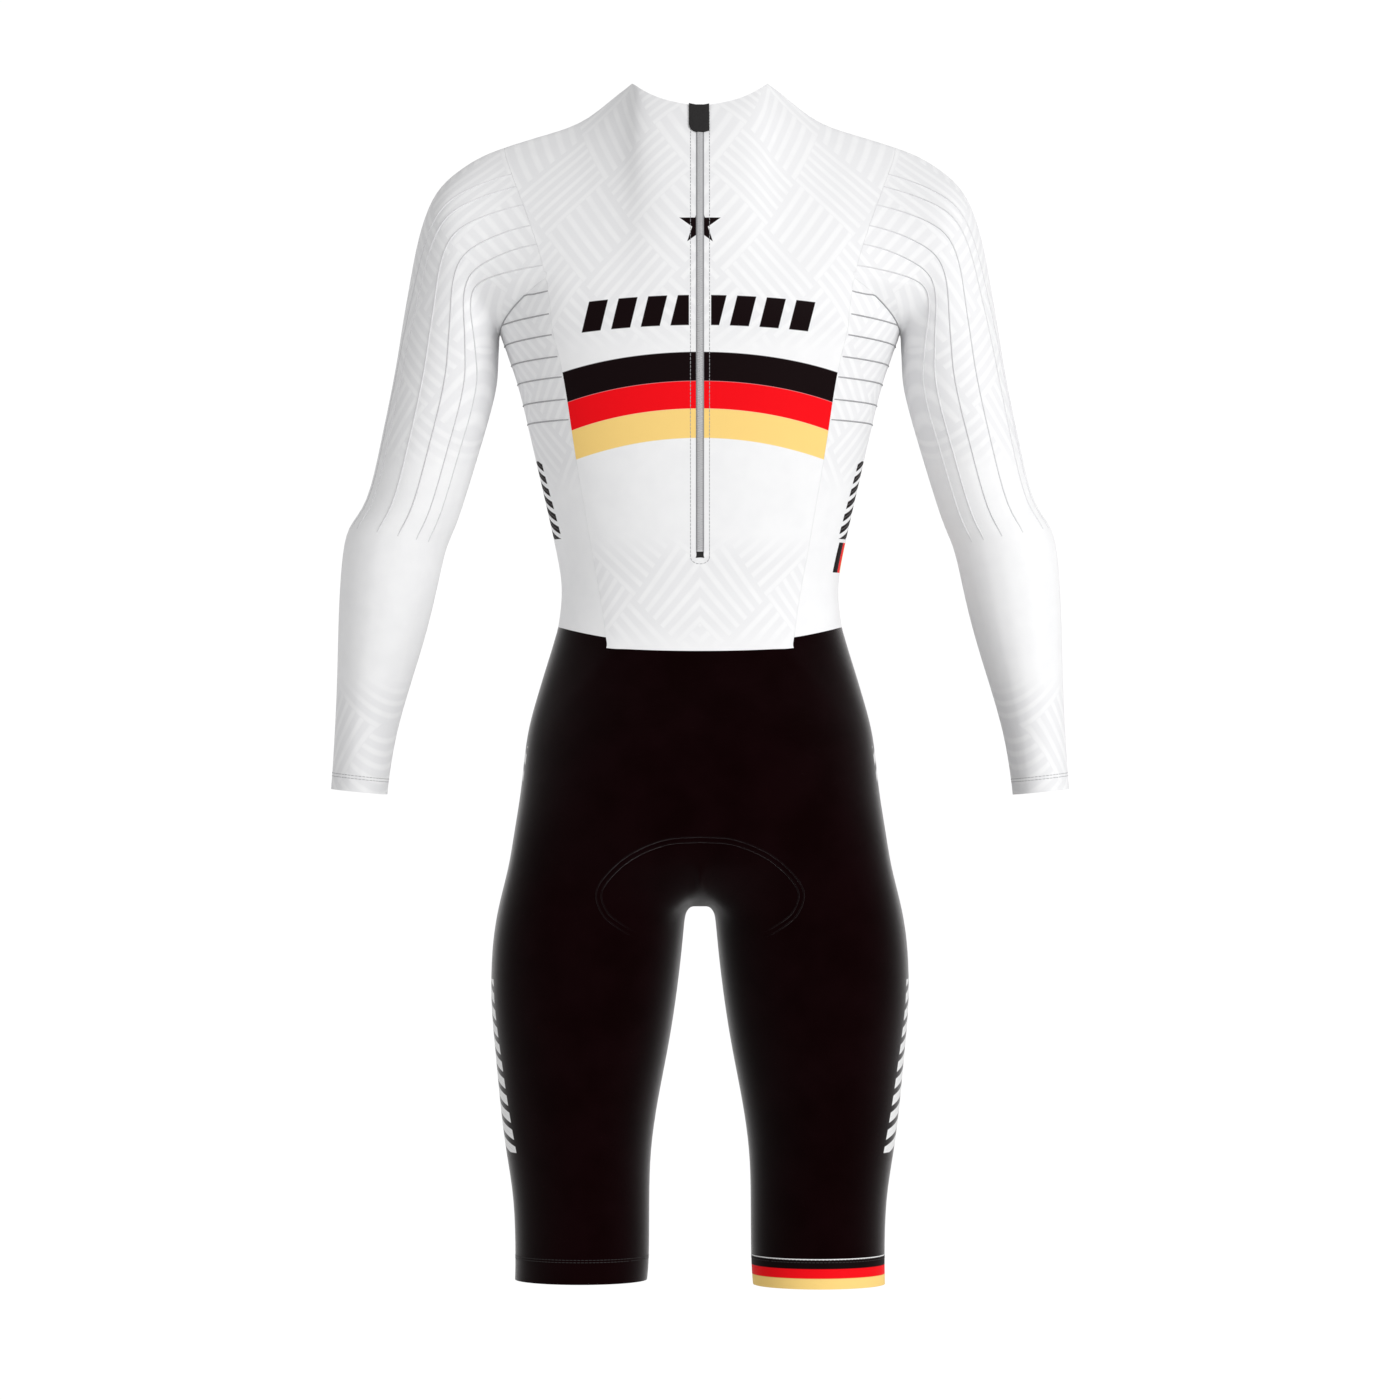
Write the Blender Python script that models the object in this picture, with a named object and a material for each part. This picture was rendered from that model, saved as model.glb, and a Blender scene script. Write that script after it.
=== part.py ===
"""Long-sleeved cycling speed suit, filled out as worn and hollow.

Metres, +Z up. The origin lies between the shoulders at shoulder height, where the wearer holds the suit.
The front faces -Y, the back with the zip faces +Y, and the wearer's left is +X.
The skin is one surface of shared points. Each sewn piece is cut from it, parted from its neighbours
by the seam gap and thickened inwards. Only the left half is worked out, and the right half mirrors it.
"""
import bpy
import bmesh
import numpy as np

MM = 0.001
WALL = 1.2 * MM
SEAM_GAP = 0.3 * MM
FACET_GAP = 0.55 * MM
RIB_HEIGHT = 0.8 * MM

# Trunk: drop below the origin, half width, back depth and front depth, in millimetres, and squareness
TRUNK = {
    "drop": (120, 150, 182, 221, 275, 310, 345, 381, 400, 416, 441, 455, 470, 487, 505, 540, 576, 608,
             640, 682),
    "half": (199, 188, 177, 163, 149.5, 141.5, 133.5, 126, 123, 123, 126, 130, 134.2, 139.8, 144.8, 153.4,
             157.1, 161.9, 167, 177.6),
    "back": (115, 116, 114, 109, 100, 93, 86, 80, 77.5, 77, 80, 83, 88, 94, 101, 113, 120, 121,
             115, 106),
    "front": (-107, -109, -109, -107, -103, -101, -99, -98, -97, -97, -97, -98, -98, -99, -99, -99, -98, -96,
              -93, -90),
    "power": (2.3, 2.3, 2.3, 2.3, 2.3, 2.3, 2.3, 2.3, 2.3, 2.3, 2.3, 2.3, 2.3, 2.3, 2.3, 2.35, 2.5, 2.75,
              3.0, 3.0),
}
# Long seams between the back or front panel and the side panel: drop and distance from the middle
LONG_SEAM = {
    "drop": (120, 150, 182, 209, 290, 370, 452, 480),
    "x": (138, 133, 128.5, 122, 109, 95.5, 82, 80),
}
# Arm: outer point, inner point, centre depth and half depth of each ring, from the shoulder cap to the cuff
ARM = {
    "outer_x": (237, 257, 268.5, 283, 295.5, 311, 317.5, 320.5, 322, 324, 326.5, 328),
    "outer_drop": (62, 136, 205, 277, 328, 352, 385, 430, 480, 525, 565, 584),
    "inner_x": (177.6, 178.5, 181, 197.5, 214, 224, 231.5, 241.5, 256, 269, 275.8, 278),
    "inner_drop": (187, 202, 231, 291, 344, 368, 398, 440, 488, 533, 571, 589),
    "middle": (-2, -2, -2, -2, -3, -4, -6, -9, -13, -17, -20, -21),
    "depth": (63, 59, 53.5, 48, 45.5, 45, 44.5, 42, 38, 34, 31.5, 31),
}
# Sleeve columns of one half: angle round the arm at the shoulder cap, and further down the arm
CAP_RINGS = 2
SLEEVE_SPLITS = (3, 2, 2, 2, 1, 1, 1, 1, 1, 1, 1, 1)
SLEEVE_TURNS = {
    "cap": (0, 13, 27, 40, 51, 59, 67, 76, 85, 92, 99, 104, 108, 111, 114, 127, 146, 180),
    "arm": (0, 7, 13, 20, 35, 51, 67, 79, 92, 103, 114, 122, 130, 136, 142, 155, 167, 180),
}
# Leg: drop, centre from the middle, half width, centre depth, half depth and squareness of each ring
LEG = {
    "drop": (700, 727, 771, 815, 859, 904, 948, 996, 1022),
    "centre": (97, 100, 103.2, 105, 107.2, 107.6, 105.1, 104.5, 105.4),
    "half": (83.3, 83.7, 81.5, 76.2, 70, 64.2, 60.2, 59.2, 58.5),
    "middle": (4, 3, 1, 0, -2, -3, -3, -2, 0),
    "depth": (94, 92, 88, 83, 77, 71, 66, 63, 62),
    "power": (2.7, 2.6, 2.4, 2.2, 2.1, 2.0, 2.0, 2.0, 2.0),
}

# Neck opening and shoulder line
NECK_HALF = 60.7 * MM
NECK_PEAK_Z = 40.8 * MM
NECK_SIDE_Y = -5 * MM
NECK_BACK = (46 * MM, 17.6 * MM)
NECK_FRONT = (-62 * MM, -25 * MM)
SHOULDER_POINT = (173.7 * MM, -8 * MM, -15 * MM)
SHOULDER_SLOPES = (-124 * MM, -45 * MM)
NECK_CURVE = 1.95

# Slopes of the columns above the joining row, as (x, y, z): at the row, at the centre, beside the neck and at
# the head of the sleeve; a slope given once is turned over for the front
JOIN_SLOPES = {"out": 4 * MM, "back": 22 * MM, "front": -6 * MM, "up": 190 * MM}
CENTRE_BACK_SLOPE = (0.0, -95 * MM, 105 * MM)
CENTRE_FRONT_SLOPE = (0.0, 70 * MM, 90 * MM)
NECK_SLOPE = (-42 * MM, 105 * MM, 60 * MM)
HEAD_SLOPE = (0.0, 112 * MM, 58 * MM)

# Rows of skin, as drops of the long back seam in millimetres; ribs lie on the rows named in the rib tuples
SLEEVE_SEAM_ROWS = (15, 21, 30, 41, 53, 61.5, 70, 79.5, 89, 97.5, 106, 115.5, 125, 130.5, 136)
SLEEVE_RIBS = (41, 53, 70, 89, 106, 125)
RIB_END_ROW = 12
RIB_FADE_ROWS = 2
UNDERARM_ROWS = (136, 147, 157, 167.5, 176.5)
JOIN_DROP = 176.5
TRUNK_ROWS = (176.5, 185.7, 195, 204.7, 213.5, 222.4, 232, 241.9, 250.5, 259.6, 269, 290, 315, 337, 358,
              375.7, 380.1, 395, 412, 431, 450.5, 459.4)
SIDE_RIBS = (147, 167.5, 185.7, 204.7, 222.4, 241.9, 259.6)
HIP_ROWS = (459.4, 470, 486, 505, 530, 558, 586, 614, 640)
WAIST_ROW = 450.5
NOTCH_ROW = 459.4
PANEL_COLUMNS = 6
HALF_COLUMNS = 3 * PANEL_COLUMNS
CROTCH_COLUMNS = 6

# Zip: half width of the chain, and the drops where the chain and its bottom stop end
ZIP_HALF = 3.5 * MM
CHAIN_END = 375.7
STOP_END = 380.1

# Zip tapes inside the slot, and the tab over the zip's top, whose lower left corner is round
TAPE_GAP = 0.6 * MM
TAPE_HALF = 12 * MM
TAPE_THICKNESS = 1.0 * MM
GARAGE_LEFT = 9.7 * MM
GARAGE_RIGHT = -8.0 * MM
GARAGE_CORNER = 5.5 * MM
GARAGE_FOOT_Z = -7.5 * MM
GARAGE_THICKNESS = 1.0 * MM

# Underarm and waist lines
ARMPIT_DROP = 181.6
UNDERARM_END = 269
UNDERARM_EASE = 3
UNDERARM_CURVE = 1.6
UNDERARM_FADE = 1.5
SEAM_LEAN = 3
WAIST_SIDE_RISE = 9.9
WAIST_CENTRE_DIP = 2.6
WAIST_REACH = 45.0
WAIST_MIDDLE = WAIST_ROW + 4

# Crotch and legs; the lean is the share of the straight line in the slope at the fold under the seat
CROTCH_DROP = 687.5
CROTCH_ARCH = 22 * MM
CROTCH_CURVE = 0.8
FOLD_LEAN = 0.6
FOLD_FADE = 0.3
EVEN_ROW = 4
INSEAM_TURN = np.pi / 4
LEG_SPLITS = (4, 1, 1, 1, 1, 1, 1, 1, 1)
LEFT_HEM_RISE = 4 * MM


def smooth(value, stations, amounts):
    """Cubic through a table, with each slope taken from its neighbours."""
    stations = np.asarray(stations, float)
    amounts = np.asarray(amounts, float)
    slopes = np.gradient(amounts, stations)
    value = np.asarray(value, float)
    index = np.clip(np.searchsorted(stations, value) - 1, 0, len(stations) - 2)
    span = stations[index + 1] - stations[index]
    u = (value - stations[index]) / span
    return ((2 * u**3 - 3 * u**2 + 1) * amounts[index] + (u**3 - 2 * u**2 + u) * span * slopes[index]
            + (3 * u**2 - 2 * u**3) * amounts[index + 1] + (u**3 - u**2) * span * slopes[index + 1])


def hermite(start, end, start_slope, end_slope, u):
    """Cubic between two points; u is a number or a column of numbers."""
    u = np.asarray(u, float)[..., None]
    return ((2 * u**3 - 3 * u**2 + 1) * start + (u**3 - 2 * u**2 + u) * start_slope
            + (3 * u**2 - 2 * u**3) * end + (u**3 - u**2) * end_slope)


def loft(stations, splits, first_slope):
    """Rows through rings of points, each span split in so many, leaving the first ring along first_slope."""
    stations = np.asarray(stations)
    steps = np.linalg.norm(np.diff(stations, axis=0), axis=2).mean(axis=1)
    along = np.concatenate([[0.0], np.cumsum(steps)])
    slopes = np.gradient(stations, along, axis=0)
    slopes[0] = first_slope / steps[0]
    rows = [stations[0]]
    for index, split in enumerate(splits):
        for step in range(1, split + 1):
            rows.append(hermite(stations[index], stations[index + 1], slopes[index] * steps[index],
                                slopes[index + 1] * steps[index], step / split))
    return np.array(rows)


def trunk_point(drop, angle):
    """Point of the trunk's skin; the angle runs from centre back by the left side to centre front."""
    half = smooth(drop, TRUNK["drop"], TRUNK["half"]) * MM
    back = smooth(drop, TRUNK["drop"], TRUNK["back"]) * MM
    front = smooth(drop, TRUNK["drop"], TRUNK["front"]) * MM
    middle = (back + front) / 2
    depth = np.where(np.cos(angle) > 0, back, front) - middle
    power = smooth(drop, TRUNK["drop"], TRUNK["power"])
    x = half * np.abs(np.sin(angle)) ** (2 / power)
    y = middle + depth * np.abs(np.cos(angle)) ** (2 / power)
    return np.stack(np.broadcast_arrays(x, y, -drop * MM), axis=-1)


def angle_at(drop, x):
    """Angle at which the trunk's section is x from the middle."""
    half = smooth(drop, TRUNK["drop"], TRUNK["half"]) * MM
    power = smooth(drop, TRUNK["drop"], TRUNK["power"])
    return np.arcsin(np.clip(x / half, 0, 1) ** (power / 2))


def seam_x(drop):
    """Distance of the long seams from the middle."""
    return smooth(drop, LONG_SEAM["drop"], LONG_SEAM["x"]) * MM


def zip_x(drop):
    """Distance of the back panel's first column from the middle: half the zip, then none below it."""
    return ZIP_HALF if drop <= STOP_END else 0.0


def neck_point(turn, rim):
    """Point of the neck's rim; turn is 0 at the centre and a right angle at the side of the neck."""
    rim_y, rim_z = rim
    y = NECK_SIDE_Y + (rim_y - NECK_SIDE_Y) * np.cos(turn)
    z = NECK_PEAK_Z + (rim_z - NECK_PEAK_Z) * np.cos(turn) ** NECK_CURVE
    return np.array([NECK_HALF * np.sin(turn), y, z])


def shoulder_point(share):
    """Point of the shoulder line, from the side of the neck (0) to the head of the sleeve (1)."""
    start = neck_point(np.pi / 2, NECK_BACK)
    end = np.array(SHOULDER_POINT)
    slopes = [np.array([end[0] - start[0], 0, slope]) for slope in SHOULDER_SLOPES]
    return hermite(start, end, slopes[0], slopes[1], share)


def upper_column(share, is_back, u):
    """Line of the back or front panel from the joining row (u = 0) to the neck or shoulder (u = 1)."""
    facing = 1 if is_back else -1
    first_x = ZIP_HALF if is_back else 0.0
    x = first_x + (seam_x(JOIN_DROP) - first_x) * share
    angle = angle_at(JOIN_DROP, x)
    start = trunk_point(JOIN_DROP, angle if is_back else np.pi - angle)
    leaning = JOIN_SLOPES["back"] if is_back else JOIN_SLOPES["front"]
    start_slope = np.array([JOIN_SLOPES["out"] * share, leaning, JOIN_SLOPES["up"]])
    centre_slope = np.array(CENTRE_BACK_SLOPE if is_back else CENTRE_FRONT_SLOPE)
    neck_slope = np.array(NECK_SLOPE) * (1, -facing, 1)
    head_slope = np.array(HEAD_SLOPE) * (1, -facing, 1)
    if share <= 0.5:
        rim = NECK_BACK if is_back else NECK_FRONT
        first_turn = np.arcsin(first_x / NECK_HALF)
        end = neck_point(first_turn + (np.pi / 2 - first_turn) * share * 2, rim)
        end_slope = centre_slope + (neck_slope - centre_slope) * share * 2
    else:
        end = shoulder_point(share * 2 - 1)
        end_slope = neck_slope + (head_slope - neck_slope) * (share * 2 - 1)
    return hermite(start, end, start_slope, end_slope, u)


def upper_levels(drops):
    """Heights u at which the long back seam passes the given drops."""
    fine = np.linspace(0, 1, 400)
    line = upper_column(1.0, True, fine)
    return np.interp(-np.asarray(drops) * MM, line[:, 2], fine)


def upper_panel(is_back, drops):
    """Grid of the back or front panel above the joining row, from the neck down."""
    levels = upper_levels(drops)
    columns = [upper_column(index / PANEL_COLUMNS, is_back, levels) for index in range(PANEL_COLUMNS + 1)]
    return np.stack(columns, axis=1)


def row_drop(drop, rise):
    """Drop of a row where the waist line rises or dips away from the long seam."""
    return drop - rise * np.exp(-((drop - WAIST_MIDDLE) / WAIST_REACH) ** 2)


def underarm_drop(drop, across):
    """Drop of a side panel row, which sinks to the armpit between its two seams."""
    sink = (ARMPIT_DROP - UNDERARM_ROWS[0]) * (1 - abs(1 - 2 * across) ** UNDERARM_CURVE)
    share = np.clip((UNDERARM_END - drop) / (UNDERARM_END - UNDERARM_ROWS[0]), 0, 1)
    return drop + sink * share ** UNDERARM_FADE


def side_point(drop, across, seam_back, seam_front):
    """Point of the side panel; above the joining row it leans to the seam points given."""
    sunk = underarm_drop(drop, across)
    local = row_drop(sunk, WAIST_SIDE_RISE * np.sin(np.pi * across))
    edge = angle_at(local, seam_x(local))
    point = trunk_point(local, edge + (np.pi - 2 * edge) * across)
    if drop < JOIN_DROP:
        own_edge = angle_at(drop, seam_x(drop))
        back_lean = seam_back - trunk_point(drop, own_edge)
        front_lean = seam_front - trunk_point(drop, np.pi - own_edge)
        point = point + back_lean * (1 - across) ** SEAM_LEAN + front_lean * across ** SEAM_LEAN
    return point


def panel_row(drop, is_back):
    """Row of the back or front panel below the joining row."""
    row = []
    for index in range(PANEL_COLUMNS + 1):
        share = index / PANEL_COLUMNS
        local = row_drop(drop, -WAIST_CENTRE_DIP * (1 - share**2))
        first_x = zip_x(drop) if is_back else 0.0
        angle = angle_at(local, first_x + (seam_x(drop) - first_x) * share)
        row.append(trunk_point(local, angle if is_back else np.pi - angle))
    return row


def waist_angles(drop):
    """Angles of all columns of the half trunk at the foot of the top."""
    edge = angle_at(drop, seam_x(drop))
    shares = np.arange(PANEL_COLUMNS + 1) / PANEL_COLUMNS
    back = angle_at(drop, seam_x(drop) * shares)
    side = edge + (np.pi - 2 * edge) * shares[1:]
    front = np.pi - back[::-1][1:]
    return np.concatenate([back, side, front])


def hip_rows():
    """Grid of the shorts from the foot of the top to the row where the legs part."""
    even = np.linspace(0, np.pi, HALF_COLUMNS + 1)
    start = waist_angles(NOTCH_ROW)
    rows = []
    for drop in HIP_ROWS:
        blend = np.clip((drop - NOTCH_ROW) / (HIP_ROWS[EVEN_ROW] - NOTCH_ROW), 0, 1)
        angles = start + (even - start) * blend
        row = []
        for column, angle in enumerate(angles):
            if column <= PANEL_COLUMNS:
                rise = -WAIST_CENTRE_DIP * (1 - (column / PANEL_COLUMNS) ** 2)
            elif column >= 2 * PANEL_COLUMNS:
                rise = -WAIST_CENTRE_DIP * (1 - ((HALF_COLUMNS - column) / PANEL_COLUMNS) ** 2)
            else:
                rise = WAIST_SIDE_RISE * np.sin(np.pi * (column / PANEL_COLUMNS - 1))
            local = row_drop(drop, rise)
            turn = angle if drop > NOTCH_ROW else angle_for(local, column, angle)
            row.append(trunk_point(local, turn))
        rows.append(row)
    return np.array(rows)


def angle_for(local, column, angle):
    """Angle of a column on the notch row, the same as the top's own columns there."""
    if column <= PANEL_COLUMNS:
        return angle_at(local, seam_x(NOTCH_ROW) * column / PANEL_COLUMNS)
    if column >= 2 * PANEL_COLUMNS:
        return np.pi - angle_at(local, seam_x(NOTCH_ROW) * (HALF_COLUMNS - column) / PANEL_COLUMNS)
    edge = angle_at(local, seam_x(local))
    return edge + (np.pi - 2 * edge) * (column / PANEL_COLUMNS - 1)


def crotch_line():
    """Points under the crotch, from centre front to centre back."""
    start = trunk_point(HIP_ROWS[-1], np.pi)
    end = trunk_point(HIP_ROWS[-1], 0.0)
    line = []
    for index in range(CROTCH_COLUMNS + 1):
        share = index / CROTCH_COLUMNS
        dip = (CROTCH_DROP - HIP_ROWS[-1]) * MM * np.sin(np.pi * share) ** CROTCH_CURVE
        y = start[1] + (end[1] - start[1]) * (1 - np.cos(np.pi * share)) / 2
        line.append(np.array([0.0, y, start[2] - dip]))
    return line


def leg_rows(hips):
    """Grid of the left leg: the half ring of the hips and the crotch line, then the leg's own rings."""
    line = crotch_line()
    top = np.array(list(hips[-1]) + line[1:])
    turns = np.linspace(-INSEAM_TURN, 2 * np.pi - INSEAM_TURN, HALF_COLUMNS + CROTCH_COLUMNS + 1)
    sines = np.sin(turns)
    cosines = np.cos(turns)
    stations = [top]
    for drop, centre, half, middle, depth, power in zip(*LEG.values()):
        x = centre + half * np.sign(sines) * np.abs(sines) ** (2 / power)
        y = middle + depth * np.sign(cosines) * np.abs(cosines) ** (2 / power)
        stations.append(np.stack([x, y, np.full_like(x, -drop)], axis=1) * MM)
    chord = stations[1] - stations[0]
    slope = chord.copy()
    fall = hips[-1] - hips[-2]
    reach = np.linalg.norm(chord[:HALF_COLUMNS + 1], axis=1) / np.linalg.norm(fall, axis=1)
    from_middle = np.minimum(np.arange(HALF_COLUMNS + 1), HALF_COLUMNS - np.arange(HALF_COLUMNS + 1))
    lean = np.clip(FOLD_LEAN - FOLD_FADE * from_middle, 0, 1)[:, None]
    slope[:HALF_COLUMNS + 1] = fall * reach[:, None] * (1 - lean) + chord[:HALF_COLUMNS + 1] * lean
    slope[-1] = slope[0]
    for index in range(1, CROTCH_COLUMNS):
        share = np.sin(np.pi * index / CROTCH_COLUMNS)
        arch = np.array([CROTCH_ARCH, 0.0, 0.0])
        column = HALF_COLUMNS + index
        slope[column] = chord[column] * (1 - share) + arch * share
    return loft(stations, LEG_SPLITS, slope)


def sleeve_turns(ring):
    """Angle of each sleeve column round an arm ring, from its outer side by the back."""
    share = max(0.0, 1 - ring / CAP_RINGS)
    half = [arm + (cap - arm) * share for cap, arm in zip(SLEEVE_TURNS["cap"], SLEEVE_TURNS["arm"])]
    return np.radians(half + [360 - turn for turn in half[::-1][1:]])


def sleeve_rows(back_edge, front_edge, underarm, back_inset, front_inset):
    """Grid of the left sleeve, from the armhole to the cuff."""
    loop = np.array(list(back_edge) + list(underarm[1:-1]) + list(front_edge[::-1]))
    stations = [loop]
    for number, (outer_x, outer_drop, inner_x, inner_drop, middle, depth) in enumerate(zip(*ARM.values())):
        turns = sleeve_turns(number)
        outer = np.array([outer_x, 0, -outer_drop]) * MM
        inner = np.array([inner_x, 0, -inner_drop]) * MM
        centre = (outer + inner) / 2 + np.array([0, middle * MM, 0])
        ring = [centre + (outer - inner) / 2 * np.cos(turn) + np.array([0, depth * MM * np.sin(turn), 0])
                for turn in turns]
        stations.append(np.array(ring))
    chord = stations[1] - loop
    reach = np.linalg.norm(chord, axis=1)[:, None]
    last = len(back_edge) - 1
    outward = chord / reach
    outward[:last + 1] = back_edge - back_inset
    outward[-last - 1:] = (front_edge - front_inset)[::-1]
    outward /= np.linalg.norm(outward, axis=1)[:, None]
    straight = np.clip((np.arange(len(loop)) - last + UNDERARM_EASE) / UNDERARM_EASE, 0, 1)
    straight = np.minimum(straight, straight[::-1])[:, None]
    slope = outward * reach * (1 - straight) + chord * straight
    return loft(stations, SLEEVE_SPLITS, slope)


class Skin:
    """Shared points and faces of the whole suit; each face knows the piece that it is cut from."""

    def __init__(self):
        self.points = []
        self.index = {}
        self.faces = []
        self.lifts = {}

    def add_point(self, position):
        key = tuple(int(round(value * 1e5)) for value in position)
        if key not in self.index:
            self.index[key] = len(self.points)
            self.points.append(np.array(position, float))
        return self.index[key]

    def add_grid(self, grid, piece_of, side, flip=False, lift_of=None):
        """Faces of a grid on one side of the suit; piece_of names the piece of each cell."""
        mirror = np.array([side, 1.0, 1.0])
        ids = [[self.add_point(point * mirror) for point in row] for row in grid]
        for row in range(len(ids) - 1):
            for column in range(len(ids[0]) - 1):
                piece = piece_of(row, column, side)
                corners = [ids[row][column], ids[row][column + 1],
                           ids[row + 1][column + 1], ids[row + 1][column]]
                if flip != (side < 0):
                    corners.reverse()
                corners = [corner for place, corner in enumerate(corners) if corner != corners[place - 1]]
                if len(corners) > 2:
                    self.faces.append((piece, corners))
                if lift_of:
                    for r, c in ((row, column), (row, column + 1), (row + 1, column), (row + 1, column + 1)):
                        self.lifts[(piece, ids[r][c])] = lift_of(r, c)

    def finish(self):
        """Normals of all points, and the pieces on each side of every edge."""
        self.points = np.array(self.points)
        self.normals = np.zeros_like(self.points)
        self.edges = {}
        for piece, corners in self.faces:
            ring = self.points[corners]
            area = np.zeros(3)
            for place in range(len(corners)):
                area += np.cross(ring[place - 1], ring[place])
            for corner in corners:
                self.normals[corner] += area
            for place in range(len(corners)):
                edge = frozenset((corners[place - 1], corners[place]))
                self.edges.setdefault(edge, []).append((piece, ring.mean(axis=0)))
        self.normals /= np.linalg.norm(self.normals, axis=1)[:, None]

    def seam_shifts(self, piece):
        """How far each of a piece's seam points moves into the piece, to leave half the gap."""
        inward = {}
        for edge, sides in self.edges.items():
            owners = [owner for owner, middle in sides]
            if piece not in owners or len(owners) != 2 or owners[0] == owners[1]:
                continue
            middle = sides[owners.index(piece)][1]
            for corner in edge:
                other = next(iter(edge - {corner}))
                along = self.points[other] - self.points[corner]
                along /= np.linalg.norm(along)
                away = middle - self.points[corner]
                away -= along * np.dot(away, along)
                away -= self.normals[corner] * np.dot(away, self.normals[corner])
                inward.setdefault(corner, []).append(away / np.linalg.norm(away))
        shifts = {}
        for corner, ways in inward.items():
            total = np.sum(ways, axis=0)
            reach = np.mean([np.dot(total, way) for way in ways])
            shifts[corner] = total / reach * SEAM_GAP / 2
        return shifts

    def solid(self, piece, material):
        """Closed wall over a piece's faces, thickened inwards and lifted outwards along its ribs."""
        faces = [corners for owner, corners in self.faces if owner == piece]
        shifts = self.seam_shifts(piece)
        used = sorted({corner for corners in faces for corner in corners})
        shell = bmesh.new()
        outside = {}
        inside = {}
        for corner in used:
            base = self.points[corner] + shifts.get(corner, 0.0)
            lift = self.lifts.get((piece, corner), 0.0)
            outside[corner] = shell.verts.new(base + self.normals[corner] * lift)
            inside[corner] = shell.verts.new(base - self.normals[corner] * WALL)
        border = {}
        for corners in faces:
            shell.faces.new([outside[corner] for corner in corners])
            shell.faces.new([inside[corner] for corner in reversed(corners)])
            for place in range(len(corners)):
                edge = (corners[place - 1], corners[place])
                border[edge] = True
        for first, second in border:
            if (second, first) not in border:
                shell.faces.new([outside[second], outside[first], inside[first], inside[second]])
        return add_object(piece, shell, material)


def add_object(name, shell, material):
    """Object from a bmesh, with its material, in the suit's collection."""
    mesh = bpy.data.meshes.new(name)
    shell.to_mesh(mesh)
    shell.free()
    mesh.materials.append(material)
    mesh.shade_smooth()
    mesh.set_sharp_from_angle(angle=np.radians(50))
    item = bpy.data.objects.new(name, mesh)
    bpy.data.collections["speed_suit"].objects.link(item)
    return item


def make_material(name, colour, roughness):
    material = bpy.data.materials.new(name)
    material.use_nodes = True
    shader = material.node_tree.nodes["Principled BSDF"]
    shader.inputs["Base Color"].default_value = (*colour, 1.0)
    shader.inputs["Roughness"].default_value = roughness
    shader.inputs["Metallic"].default_value = 0.0
    return material


def build_top(skin):
    """Back, front and side panels, the zip and the sleeves."""
    upper_drops = SLEEVE_SEAM_ROWS + UNDERARM_ROWS[1:]
    back = upper_panel(True, upper_drops)
    front = upper_panel(False, upper_drops)
    lower_back = np.array([panel_row(drop, True) for drop in TRUNK_ROWS])
    lower_front = np.array([panel_row(drop, False) for drop in TRUNK_ROWS])
    whole_back = np.concatenate([back[:-1], lower_back])
    whole_front = np.concatenate([front[:-1], lower_front])
    armhole_row = len(SLEEVE_SEAM_ROWS) - 1

    side_rows = UNDERARM_ROWS[:-1] + TRUNK_ROWS
    side = []
    for place, drop in enumerate(side_rows):
        seam_back = whole_back[armhole_row + place, -1]
        seam_front = whole_front[armhole_row + place, -1]
        row = [side_point(drop, index / PANEL_COLUMNS, seam_back, seam_front)
               for index in range(PANEL_COLUMNS + 1)]
        row[0] = seam_back
        row[-1] = seam_front
        side.append(row)
    side = np.array(side)

    sleeve = sleeve_rows(whole_back[:armhole_row + 1, -1], whole_front[:armhole_row + 1, -1], side[0],
                         whole_back[:armhole_row + 1, -2], whole_front[:armhole_row + 1, -2])
    waist_place = side_rows.index(WAIST_ROW)
    rib_columns = [SLEEVE_SEAM_ROWS.index(drop) for drop in SLEEVE_RIBS]
    last_column = sleeve.shape[1] - 1
    rib_columns += [last_column - column for column in rib_columns]

    def side_piece(row, column, way):
        if row >= waist_place:
            return "shorts_back" if column < PANEL_COLUMNS / 2 else "shorts_front"
        return "side_panel_left" if way > 0 else "side_panel_right"

    def side_lift(row, column):
        return RIB_HEIGHT if side_rows[row] in SIDE_RIBS else 0.0

    def sleeve_lift(row, column):
        fade = np.clip((RIB_END_ROW - row) / RIB_FADE_ROWS, 0, 1)
        return RIB_HEIGHT * fade if column in rib_columns else 0.0

    for way in (1, -1):
        skin.add_grid(whole_back, lambda row, column, way: "back_panel", way)
        skin.add_grid(whole_front[:, ::-1], lambda row, column, way: "front_panel", way)
        skin.add_grid(side, side_piece, way, lift_of=side_lift)
        skin.add_grid(sleeve, lambda row, column, way: "sleeve_left" if way > 0 else "sleeve_right", way,
                      flip=True, lift_of=sleeve_lift)
    add_zip_strip(skin, whole_back[:, 0])
    return whole_back


def add_zip_strip(skin, edge):
    """Strip along the middle of the back: the zip's chain, its bottom stop, then the back panel itself."""
    drops = SLEEVE_SEAM_ROWS + UNDERARM_ROWS[1:-1] + TRUNK_ROWS
    mirrored = edge * np.array([-1.0, 1.0, 1.0])

    def strip_piece(row, column, way):
        if drops[row + 1] <= CHAIN_END:
            return "zip_chain"
        return "zip_stop" if drops[row + 1] <= STOP_END else "back_panel"

    skin.add_grid(np.stack([mirrored, edge], axis=1), strip_piece, 1)


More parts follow.
